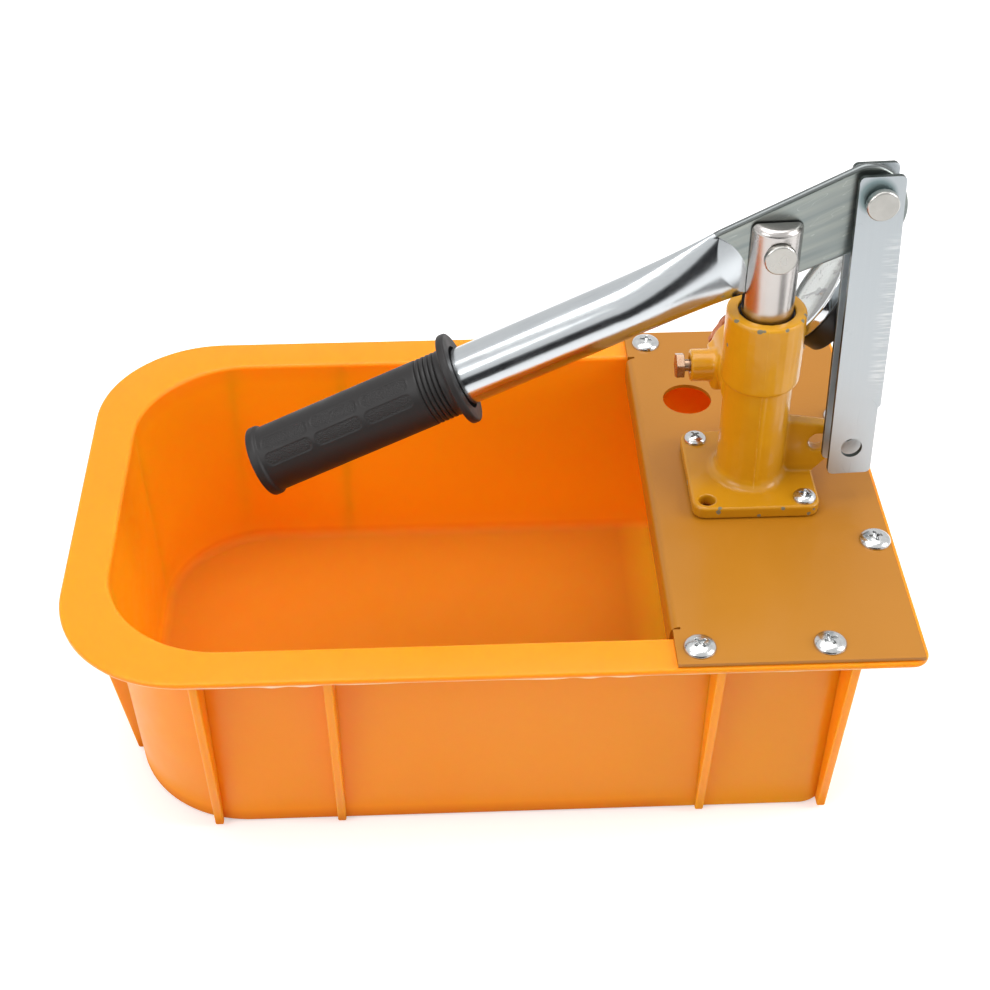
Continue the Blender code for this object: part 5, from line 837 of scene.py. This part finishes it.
def lever_grid(stations, turn, inset=0.0):
    """Height follows the cosine of the turn and side its sine. The spoon is a plane facet that
    cuts the pressed oval and ends in a crease, an arc that is a parabola of the height."""
    thick, tall = (part[:, None] for part in lever_sections(stations, inset))
    up = tall * np.cos(turn)
    swell = np.abs(np.sin(turn))
    side = thick * swell
    if not inset:
        along = stations[:, None]
        share = np.clip((along + PRESS_START) / (PRESS_START + CREASE), 0, 1) ** PRESS_SHARE
        oval = (TUBE - (TUBE - BLADE) * OVAL_SHARE * share) * swell
        facet = BLADE + SPOON_SLOPE * (CREASE - CREASE_BOW * (up / ROOT_TALL) ** 2 - along)
        over = np.clip((np.abs(up) - (tall - BLADE)) / BLADE, 0, 1)
        flat = BLADE * np.sqrt(1 - over ** 2)
        side = np.maximum(np.minimum(oval, facet), np.minimum(flat, share * 2 * TUBE))
    side = side * np.sign(np.round(np.sin(turn), 9))
    return np.stack([np.broadcast_to(stations[:, None], up.shape), side, up], axis=-1)


def cutter(name, mesh, place):
    """A finished mesh as a tool that cuts another piece."""
    mesh.transform(place)
    return put(name, mesh)


def round_cutter(name, radius, start, end, place):
    """A round tool along its place's Y, from a start to an end."""
    mesh = turned_mesh(name, [(0, -start), (radius, -start), (radius, -end), (0, -end)], 64)
    return cutter(name, mesh, place @ Matrix.Rotation(QUARTER, 4, "X"))


def cut_away(piece, tools, sharp):
    """Take the tools' shapes out of a piece, then remove the tools."""
    for tool in tools:
        cut = piece.modifiers.new(tool.name, "BOOLEAN")
        cut.operation = "DIFFERENCE"
        cut.solver = "EXACT"
        cut.object = tool
    apply_modifiers(piece)
    for tool in tools:
        bpy.data.objects.remove(tool)
    piece.data.shade_smooth()
    piece.data.set_sharp_from_angle(angle=math.radians(sharp))


def make_lever():
    """The plated tube, pressed to a blade at the pump's end, with its two pin holes."""
    tip = BLADE_END + END_ROUND * np.sin(np.linspace(0.985, 0, 24) * QUARTER)
    stations = np.concatenate([tip, np.linspace(BLADE_END, CREASE_ROWS[0], 16)[1:],
                               np.linspace(*CREASE_ROWS, 45)[1:],
                               np.linspace(CREASE_ROWS[1], -PRESS_START, 80)[1:],
                               np.linspace(-PRESS_START, -HANDLE, 12)[1:]])
    turn = np.linspace(0, FULL, 128, endpoint=False)
    outer = lever_grid(stations, turn)
    inner = lever_grid(stations[stations < BORE_END][::-1], turn, TUBE_WALL)
    grid = np.concatenate([outer, inner])
    mesh = skin_mesh("lever_tube", grid, capped=True)
    tall = lever_sections(grid[:, :1, 0])[1]
    past = np.abs(grid[:, :, 2]) - (tall - EDGE_LINE)
    mark_points(mesh, "edge", np.clip(past / EDGE_FADE, 0, 1))
    finish_mesh(mesh, LEVER_SHARP)
    piece = show("lever_tube", mesh, bright_zinc_tube(), "lever", LEVER_PLACE)
    spots = {"fork": Matrix.Identity(4), "links": Matrix.Translation((PIN_SPACING, 0, PIN_OFFSET))}
    cut_away(piece, [round_cutter(f"lever_hole_{name}", PIN_HOLE_RADIUS, -0.01, 0.01,
                                  LEVER_PLACE @ spot) for name, spot in spots.items()], LEVER_SHARP)


GRIP_LENGTH, GRIP_END_WALL, GRIP_BODY = 0.108, 0.0042, 0.01625
LOZENGE_DEPTH, LIP_HEIGHT, LIP_WIDTH = 0.00038, 0.00012, 0.00035
PRESS_FADE, PEBBLE_FADE = 0.0005, 0.0006
RIDGE_TOP, RIDGE_FOOT, RIDGE_PITCH, RIDGE_DEPTH = 0.0200, 0.0071, 0.0024, 0.0009


def grip_profile():
    """The sleeve's outline from its closed end to its mouth. The ridges beside the hand stop are
    quarter circles of the distance from the nearest of five sharp valleys."""
    end, body, stop, bore, mouth = 0.0175, GRIP_BODY, 0.0225, 0.0143, 0.01575
    edge, fillet, half = 0.0012, 0.0030, 0.0012
    bend = np.linspace(0, QUARTER, 9)
    long = np.concatenate([np.arange(GRIP_LENGTH - 0.0058, RIDGE_TOP, -0.00050),
                           np.arange(RIDGE_TOP, RIDGE_FOOT, -0.00011)])
    valleys = 0.0182 - RIDGE_PITCH * np.arange(5)
    near = np.clip(1 - np.abs(long[:, None] - valleys).min(axis=1) / half, 0, 1)
    depth = RIDGE_DEPTH * (1 - np.sqrt(1 - near ** 2))
    shoulder = GRIP_LENGTH - 0.004
    parts = [[(0, GRIP_LENGTH)],
             np.column_stack([end - edge + edge * np.sin(bend),
                              GRIP_LENGTH - edge + edge * np.cos(bend)]),
             rounded([(end, GRIP_LENGTH - edge), (end, shoulder), (body, shoulder - edge),
                      (body, long[0])], 0.0007)[1:-1],
             np.column_stack([body - depth, long]),
             np.column_stack([body + fillet * (1 - np.cos(bend)), 0.007 - fillet * np.sin(bend)]),
             np.column_stack([stop - edge + edge * np.sin(bend),
                              0.004 - edge + edge * np.cos(bend)]),
             np.column_stack([stop - edge + edge * np.cos(bend), edge - edge * np.sin(bend)]),
             [(mouth, 0), (mouth, 0.003), (bore, 0.003), (bore, GRIP_LENGTH - GRIP_END_WALL),
              (0, GRIP_LENGTH - GRIP_END_WALL)]]
    return np.vstack(parts)


def lozenge_depth(turn, height):
    """How far inside a lozenge a point lies: rounded bars 24.4 mm long and 7 mm wide, three along
    the sleeve in two rows beside each other, and the same again on the far side."""
    pitch = 0.0265
    along = (height - 0.0222) / pitch
    middle = np.round(np.clip(along, 0.5, 2.5) - 0.5) + 0.5
    off_length = np.abs(along - middle) * pitch
    side = (turn - math.radians(302)) % HALF
    beside = np.minimum(np.abs(side - math.radians(29.5)), np.abs(side - HALF))
    column = np.minimum(np.abs(side), beside)
    half_long, half_wide, corner = 0.0122, 0.0035, 0.0026
    qx = np.clip(off_length - (half_long - corner), 0, None)
    qy = np.clip(column * GRIP_BODY - (half_wide - corner), 0, None)
    return corner - np.hypot(qx, qy)


def make_grip():
    """The rubber sleeve with its hand stop: a turned skin whose lozenges are pressed in."""
    profile = grip_profile()
    steps = 288
    turn = np.linspace(0, FULL, steps, endpoint=False)
    radius = np.repeat(profile[:, :1], steps, axis=1)
    height = np.repeat(profile[:, 1:], steps, axis=1)
    inside = lozenge_depth(turn[None, :], height)
    outside = (radius > 0.0160) & (height > 0.0195) & (height < 0.1025)
    dent = np.clip(inside / PRESS_FADE, 0, 1) * LOZENGE_DEPTH
    lip = np.exp(-(inside / LIP_WIDTH) ** 2) * LIP_HEIGHT
    radius = radius - np.where(outside, dent - lip * (inside > -0.002), 0)
    mesh = skin_mesh("grip_sleeve", turned_grid(radius, height, steps))
    mark_points(mesh, "lozenge", np.where(outside, np.clip(inside / PEBBLE_FADE, 0, 1), 0))
    finish_mesh(mesh, 50)
    mouth = HANDLE + 0.0003 + GRIP_END_WALL - GRIP_LENGTH
    place = LEVER_PLACE @ Matrix.Translation((-mouth, 0, 0)) @ Matrix.Rotation(-QUARTER, 4, "Y")
    show("grip_sleeve", mesh, moulded_rubber(), "lever_grip", place)


# Screws, outlet and gauge.

# Pan heads: their width, their rise, and the width of the cross recess and of the shank.
COVER_HEAD, CASTING_HEAD = (0.0153, 0.0034, 0.0068, 0.006), (0.0115, 0.0033, 0.0054, 0.005)
HEAD_EDGE, SHANK_EASE, HEAD_TURN = 0.0003, 0.0005, math.radians(37.0)


def screw_mesh(name, head, rise, recess, shank, length):
    """A pan head: a dome over radius and turn, less a cross whose four arms narrow and deepen
    towards the middle, on a plain shank."""
    steps = 96
    radius = np.concatenate([np.linspace(0, recess * 0.62, 26),
                             np.linspace(recess * 0.62, head / 2, 16)[1:]])
    turn = np.linspace(0, FULL, steps, endpoint=False)
    r, t = np.meshgrid(radius, turn, indexing="ij")
    dome = rise * np.sqrt(np.clip(1 - (r / (head / 2)) ** 2.6, 0, 1))
    x, y = r * np.cos(t), r * np.sin(t)
    across = np.minimum(np.abs(x), np.abs(y))
    along = np.maximum(np.abs(x), np.abs(y))
    arm = 0.13 * recess - 0.05 * along
    into = np.clip((arm - across) / (0.035 * recess), 0, 1)
    into = into * np.clip((recess / 2 - along) / (0.06 * recess), 0, 1)
    deep = rise * (0.42 + 0.40 * np.clip(1 - along / (recess / 2), 0, 1))
    z = HEAD_EDGE + dome - into * deep
    top = np.stack([x, y, z], axis=-1)
    outline = np.array([(head / 2, HEAD_EDGE), (shank / 2, HEAD_EDGE),
                        (shank / 2, -length + SHANK_EASE), (shank / 2 - SHANK_EASE, -length),
                        (0, -length)])
    under = turned_grid(outline[:, :1], outline[:, 1:], steps)
    return grid_mesh(name, np.concatenate([top, under[1:]]), 30)


def thread_relief(height, turn, pitch, deep, foot, end):
    """A screw thread's depth: a rounded saw of height over pitch less turn, fading at its ends."""
    phase = (height / pitch - turn / FULL) % 1
    wave = 0.5 + 0.5 * np.cos(phase * FULL)
    fade = np.clip((height - foot) / pitch, 0, 1) * np.clip((end - height) / (pitch * 0.8), 0, 1)
    return deep * wave * fade


def make_nipple(brass):
    """The outlet nipple: spigot, chamfered hexagon and a cut thread round a through bore."""
    steps = 144
    turn = np.linspace(0, FULL, steps, endpoint=False)
    flats, bore, male, spigot = 0.0275, 0.00375, 0.010, 0.0075
    pitch, deep, root, end = 0.0015, 0.0009, 0.0052, 0.0140
    hexagon = hex_radius(flats, steps)
    height, radius = [], []

    def row(z, r):
        height.append(np.full(steps, z))
        radius.append(np.broadcast_to(np.asarray(r, float), (steps,)))

    for z, edge in ((-0.0055, bore), (-0.0055, spigot), (0, spigot)):
        row(z, edge)
    for z, limit in ((0, 0.0138), (0, 0.0142), (0.0009, 0.0170), (0.0041, 0.0170),
                     (0.0050, 0.0142)):
        row(z, np.minimum(hexagon, limit))
    row(0.005, 0.0092)
    for z in np.linspace(root, end, 150):
        cut = thread_relief(z, turn, pitch, deep, root, end)
        row(z, male - 0.0006 * float(z > 0.0134) - cut)
    for z, edge in ((end, 0.0088), (end, bore + 0.0008), (0.0132, bore)):
        row(z, edge)
    grid = turned_grid(np.array(radius), np.array(height), steps)
    mesh = grid_mesh("outlet_thread", grid, 30, True)
    boss = Vector((PUMP_X - 0.0029, 0.0383, CASTING_FOOT + 0.0568))
    place = Matrix.Translation(boss) @ Matrix.Rotation(-QUARTER, 4, "X")
    show("outlet_thread", mesh, brass, "outlet_nipple", place)


def gauge_place():
    """The gauge's own frame: Y up its stem, Z out of its face, origin in the middle of its case."""
    level = Vector((-math.cos(GAUGE_SLANT), 0, math.sin(GAUGE_SLANT)))
    axis = Vector((math.sin(GAUGE_SLANT), 0, math.cos(GAUGE_SLANT)))
    face = level * math.cos(GAUGE_TURN) + Vector((0, math.sin(GAUGE_TURN), 0))
    turn = Matrix((axis.cross(face), axis, face)).transposed().to_4x4()
    foot = Vector((PUMP_X + 0.0172, 0.0298, CASTING_FOOT + 0.0575))
    return Matrix.Translation(foot) @ turn @ Matrix.Translation((0, 0.0357, 0))


def dial_marks_mesh(height):
    """Scale marks round three quarters of the dial: 51 ticks, every tenth longer, and numbers."""
    points, faces = [], []
    first, sweep, ticks, outer, numbers = 225, 270, 50, 0.0182, 0.0118
    for number in range(ticks + 1):
        angle = math.radians(first - sweep * number / ticks)
        long = number % 10 == 0
        middle = number % 5 == 0
        inner = 0.0150 if long else 0.0160 if middle else 0.0168
        half = 0.00028 if long else 0.00014
        out = np.array((math.cos(angle), math.sin(angle)))
        side = np.array((-out[1], out[0])) * half
        start = len(points)
        for radius, sign in ((inner, -1), (outer, -1), (outer, 1), (inner, 1)):
            points.append((*(out * radius + side * sign), height))
        faces.append([start, start + 1, start + 2, start + 3])
    mesh = bpy.data.meshes.new("dial_marks")
    mesh.from_pydata(points, [], faces)
    skin = bmesh.new()
    skin.from_mesh(mesh)
    for number in range(6):
        angle = math.radians(first - sweep / 5 * number)
        letters = bpy.data.curves.new(f"dial_number_{number}", "FONT")
        letters.body = str(number * 2)
        letters.size = 0.0042
        letters.align_x = "CENTER"
        letters.align_y = "CENTER"
        drawn = put(letters.name, letters)
        bpy.context.view_layer.update()
        seen = drawn.evaluated_get(bpy.context.evaluated_depsgraph_get())
        flat = bpy.data.meshes.new_from_object(seen)
        spot = (numbers * math.cos(angle), numbers * math.sin(angle), height)
        flat.transform(Matrix.Translation(spot))
        skin.from_mesh(flat)
        bpy.data.objects.remove(drawn)
    bmesh.ops.solidify(skin, geom=skin.faces[:], thickness=-0.00004)
    bmesh.ops.recalc_face_normals(skin, faces=skin.faces)
    skin.to_mesh(mesh)
    skin.free()
    return mesh


def make_gauge(enamel, chrome, brass):
    """Case, bezel, lens, dial and marks, all turned in the gauge's own frame."""
    place = gauge_place()
    inside, outside, opening = 0.0238, 0.025, 0.0226
    back = -0.008
    rim = back + 0.0115
    case = [(0, back + 0.0015), (inside, back + 0.0015), (inside, rim - 0.0003),
            (outside, rim - 0.0003), (outside, back), (0, back)]
    show("gauge_cup", turned_mesh("gauge_cup", case, 128, 0.0011), enamel, "gauge_case", place)
    top = rim + 0.0045
    lip = 0.0009
    bezel = [(opening, top), (outside, top), (outside, rim), (outside - lip, rim),
             (outside - lip, top - lip), (opening, top - lip), (opening, top)]
    ring = turned_mesh("gauge_ring", bezel, 128, 0.0008)
    show("gauge_ring", ring, chrome, "gauge_bezel", place)
    lens_top = top - 0.0012
    lens = [(0, lens_top), (inside, lens_top), (inside, lens_top - 0.001), (0, lens_top - 0.001)]
    window = turned_mesh("gauge_window", lens, 96, 0.0002)
    show("gauge_window", window, window_glass(), "gauge_lens", place)
    enamelled = plain_solid("dial_enamel", "E9E9E4", "F4F4F0", 0.42, patch_mm=9.0)
    eased("gauge_dial", enamelled, 0)
    ink = plain_solid("dial_ink", "0E0E10", "1B1B1E", 0.5)
    dial_top = back + 0.0112 + 0.0008
    marks = dial_marks_mesh(dial_top + 0.00003)
    extra("dial_marks", marks, ink, "base", place)
    eased("gauge_pointer", plain_solid("pointer_paint", "0B0B0C", "161618", 0.42), 0.00008, 1)
    eased("gauge_stem", brass, 0.0003)


# The pump.

# The cover's relief notches: their end along X and side along Y, and how far they are drawn back.
NOTCH_END, NOTCH_SIDE, NOTCH_WIDTH, NOTCH_BACK, NOTCH_NEAR = 0.092, 0.105, 0.0018, 0.0034, 0.0003


def make_casting(paint):
    """The casting's skin: the CAD shape remeshed finely, then smoothed so that its edges are soft
    as sand leaves them."""
    piece = show("casting_skin", merged_copy("pump_casting"), paint, "pump_casting")
    remesh = piece.modifiers.new("skin", "REMESH")
    remesh.mode = "VOXEL"
    remesh.voxel_size = 0.00075
    smooth = piece.modifiers.new("soft", "SMOOTH")
    smooth.factor = 0.5
    smooth.iterations = 3
    apply_modifiers(piece)
    piece.data.materials.clear()
    piece.data.materials.append(paint)
    piece.data.shade_smooth()
    return piece


def make_plunger():
    """The ground plunger: a turned skin with rounded chamfers, less the fork's slot, the pin's hole
    and the flat spot under the pin's head."""
    top, radius, chamfer = 0.013, 0.01225, 0.002
    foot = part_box("plunger")[0][2] - LEVER_PIN.z
    outline = [(0, top), (radius - chamfer, top), (radius, top - chamfer), (radius, foot + chamfer),
               (radius - chamfer, foot), (0, foot)]
    piece = show("plunger_ground", turned_mesh("plunger_ground", outline, 192, 0.0011),
                 ground_plunger_steel(), "plunger", PIN_PLACE)
    slot = bpy.data.meshes.new("plunger_slot")
    box = bmesh.new()
    bmesh.ops.create_cube(box, size=1, matrix=Matrix.Translation((0, 0, top - 0.0465 + 0.03))
                          @ Matrix.Diagonal((0.04, 0.0056, 0.06, 1)))
    box.to_mesh(slot)
    box.free()
    cut_away(piece, [cutter("plunger_slot", slot, PIN_PLACE),
                     round_cutter("plunger_hole", PIN_HOLE_RADIUS, -0.02, 0.02, PIN_PLACE),
                     round_cutter("plunger_spot", 0.00825, -0.02, 0.0009 - radius, PIN_PLACE)], 30)


def cover_mesh():
    """The cover's own shape, its two relief notches drawn back to short ticks beside the bend."""
    mesh = merged_copy("cover_plate")
    for point in mesh.vertices:
        x, y = point.co.x, abs(point.co.y)
        beside = NOTCH_SIDE - NOTCH_NEAR < y < NOTCH_SIDE + NOTCH_WIDTH
        if beside and abs(x - NOTCH_END) < NOTCH_NEAR:
            point.co.x = NOTCH_END - NOTCH_BACK
    return mesh


def make_pump():
    """Casting, plunger, links, pins and the small fittings."""
    paint = casting_enamel()
    make_casting(paint)
    eased("cover_plate", sprayed_sheet_paint(), 0.0005, 3, mesh=cover_mesh())
    make_plunger()
    bar = zinc_flat_bar()
    # Painted shade, in part: the links' sheared edges are bare steel, and their dark grey is the
    # shade that lies beside and between the links.
    sheared_edge_and_shade = plain_metal("sheared_bar_edge_and_painted_shade", "39403E", "525A57", 0.42)
    for name in ("front_link", "back_link"):
        link = eased(name, bar, 0.0002, 2)
        link.data.materials.append(sheared_edge_and_shade)
        inward = LINK_PLACE.to_3x3().inverted()
        for face in link.data.polygons:
            turned = inward @ face.normal
            face.material_index = int(abs(turned.y) < 0.6)
    pins = turned_pin_plate()
    eased("plunger_pin", pins, 0.0002)
    eased("link_pin", pins, 0.0002)
    spring = plain_metal("blued_spring_steel", "3C3D40", "55565A", 0.36)
    eased("plunger_pin_clip", spring, 0.0001)
    eased("link_pin_clip", spring, 0.0001)
    brass = plain_metal("turned_brass", "A9783F", "C79A5C", 0.27)
    # Painted reflection: the nipple's brass is painted a copper orange for the orange tank and
    # casting that it mirrors.
    brass_painted_reflection = plain_metal("brass_painted_orange_reflection", "9C4C24", "C87840", 0.30)
    make_nipple(brass_painted_reflection)
    tarnished = plain_metal("tarnished_brass", "7C5840", "B09882", 0.28, patch_mm=2.5)
    eased("release_screw", tarnished, 0.0003)
    eased("suction_seat", brass, 0.0003)
    eased("suction_ball", plain_metal("ball_steel", "C8C8C8", "DADADA", 0.10, 0.03), 0)
    ring_rubber = plain_solid("nitrile_rubber", "151516", "222224", 0.48)
    eased("wiper_ring", ring_rubber, 0.0003)
    eased("plunger_seal", ring_rubber, 0.0003)
    pipe = plain_solid("grey_pvc", "6E7275", "7E8285", 0.40)
    eased("suction_pipe", pipe, 0.0002)
    eased("suction_strainer", pipe, 0.0003)
    make_gauge(plain_solid("stoved_black_enamel", "0A0808", "161212", 0.38),
               plain_metal("chromed_steel", "CDCFD1", "E2E3E4", 0.09, 0.03), brass)


def make_fixings():
    """Screws with their cross recesses, and the nuts under the rim and the cover."""
    zinc = plain_metal("bright_zinc_on_screws", "B9BABA", "DCDDDD", 0.20, 0.07, 2.0, 0.15)
    for name in FASTENERS:
        low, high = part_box(name)
        middle = [(a + b) / 2 for a, b in zip(low, high)]
        number = int(name.rsplit("_", 1)[1])
        head, rise, recess, shank = COVER_HEAD if name.startswith("cover") else CASTING_HEAD
        seat = high[2] - rise
        mesh = screw_mesh(name, head, rise - HEAD_EDGE, recess, shank, seat - low[2])
        turn = Matrix.Rotation(HEAD_TURN * number, 4, "Z")
        place = Matrix.Translation((middle[0], middle[1], seat)) @ turn
        show(name + "_plated", mesh, zinc, name, place)
    for name in NUTS:
        eased(name, zinc, 0.0003)


# The studio.

def studio_sheet(name, corners, material):
    """A flat sheet of the studio with four corners."""
    mesh = bpy.data.meshes.new(name)
    mesh.from_pydata(corners, [], [(0, 1, 2, 3)])
    mesh.materials.append(material)
    return put(name, mesh)


def matt_card(name, grey):
    """Matt card of one even grey that mirrors nothing."""
    return new_material(name, {"Base Color": grey, "Roughness": 1.0, "Specular IOR Level": 0.0})[0]


def studio_paper():
    """White paper that glows for the camera and in mirrors, so that it shows white."""
    paper, tree, shader = new_material("studio_paper", {
        "Base Color": (0.80, 0.80, 0.80, 1), "Roughness": 0.9, "Specular IOR Level": 0.1})
    output = [node for node in tree.nodes if node.type == "OUTPUT_MATERIAL"][0]
    seen = add(tree, "LightPath")
    clear = add(tree, "Math", {"operation": "MAXIMUM", 0: (seen, "Is Camera Ray"),
                               1: (seen, "Is Glossy Ray")})
    clear = add(tree, "Math", {"operation": "MAXIMUM", 0: clear, 1: (seen, "Is Transmission Ray")})
    lift = add(tree, "Math", {"operation": "MULTIPLY", 0: clear, 1: 0.42})
    glow = add(tree, "Emission", {"Color": (1, 1, 1, 1), "Strength": lift})
    both = add(tree, "AddShader", {0: shader, 1: glow})
    join_nodes(tree, both, output, "Surface")
    return paper


def make_stage():
    """A white sweep that keeps the shadow, and two cards that the camera doesn't see: a dark one
    behind it and a grey one on the floor give the polished metal its dark bands."""
    half, under = 6.0, -0.0003
    corners = [(-half, -half, under), (half, -half, under), (half, half, under),
               (-half, half, under)]
    floor = studio_sheet("floor", corners, studio_paper())
    left, right, behind, top = -1.6, 1.05, -1.5, 0.72
    corners = [(left, behind, 0.0), (right, behind, 0.0), (right, behind, top), (left, behind, top)]
    shade = studio_sheet("dark_card", corners, matt_card("black_felt", (0.02, 0.02, 0.022, 1)))
    shade.visible_camera = shade.visible_shadow = False
    left, right, near, far, lift = 0.34, 0.48, -0.47, -0.14, 0.0004
    corners = [(left, near, lift), (right, near, lift), (right, far, lift), (left, far, lift)]
    grey = studio_sheet("grey_card", corners, matt_card("grey_board", (0.22, 0.22, 0.22, 1)))
    grey.visible_camera = grey.visible_shadow = grey.visible_diffuse = False


def make_lights():
    """Soft boxes overhead, at the left front and at the right, over a dim even room."""
    world = bpy.data.worlds.new("studio")
    bpy.context.scene.world = world
    world.use_nodes = True
    tree = world.node_tree
    tree.nodes.clear()
    seen = add(tree, "LightPath")
    clear = add(tree, "Math", {"operation": "MAXIMUM", 0: (seen, "Is Camera Ray"),
                               1: (seen, "Is Transmission Ray")})
    glossy = add(tree, "Math", {"operation": "MULTIPLY", 0: (seen, "Is Glossy Ray"), 1: 0.75})
    clear = add(tree, "Math", {"operation": "MAXIMUM", 0: clear, 1: glossy})
    level = add(tree, "MapRange", {0: clear, 1: 0.0, 2: 1.0, 3: 0.64, 4: 1.0})
    back = add(tree, "Background", {"Color": (1, 1, 1, 1), "Strength": level})
    add(tree, "OutputWorld", {"Surface": back})
    for name, spot, size, power in (("box_above", (-0.1, 0.15, 1.5), (1.5, 0.9), 15.0),
                                    ("box_front_left", (-1.1, -0.9, 1.0), (0.8, 0.8), 8.0),
                                    ("box_right", (1.3, -0.3, 0.9), (0.6, 0.9), 10.5)):
        lamp = bpy.data.lights.new(name, "AREA")
        lamp.shape = "RECTANGLE"
        lamp.size, lamp.size_y = size
        lamp.energy = power
        lit = put(name, lamp)
        lit.location = spot
        way = Vector((0, 0, 0.1)) - Vector(spot)
        lit.rotation_euler = way.to_track_quat("-Z", "Y").to_euler()


def make_camera():
    """The photograph's own viewpoint, fitted to the tank's rim and the cover's screws."""
    lens = bpy.data.cameras.new("camera")
    lens.lens = 65.67
    lens.sensor_width = 36
    lens.clip_end = 50
    camera = put("camera", lens)
    camera.location = (-0.0206, -0.6952, 0.7062)
    camera.rotation_euler = (math.radians(49.81), 0, math.radians(-2.34))
    bpy.context.scene.camera = camera


bpy.context.scene.view_settings.view_transform = "Standard"
make_camera()
make_stage()
make_lights()
make_tank()
make_pump()
make_fixings()
make_lever()
make_grip()
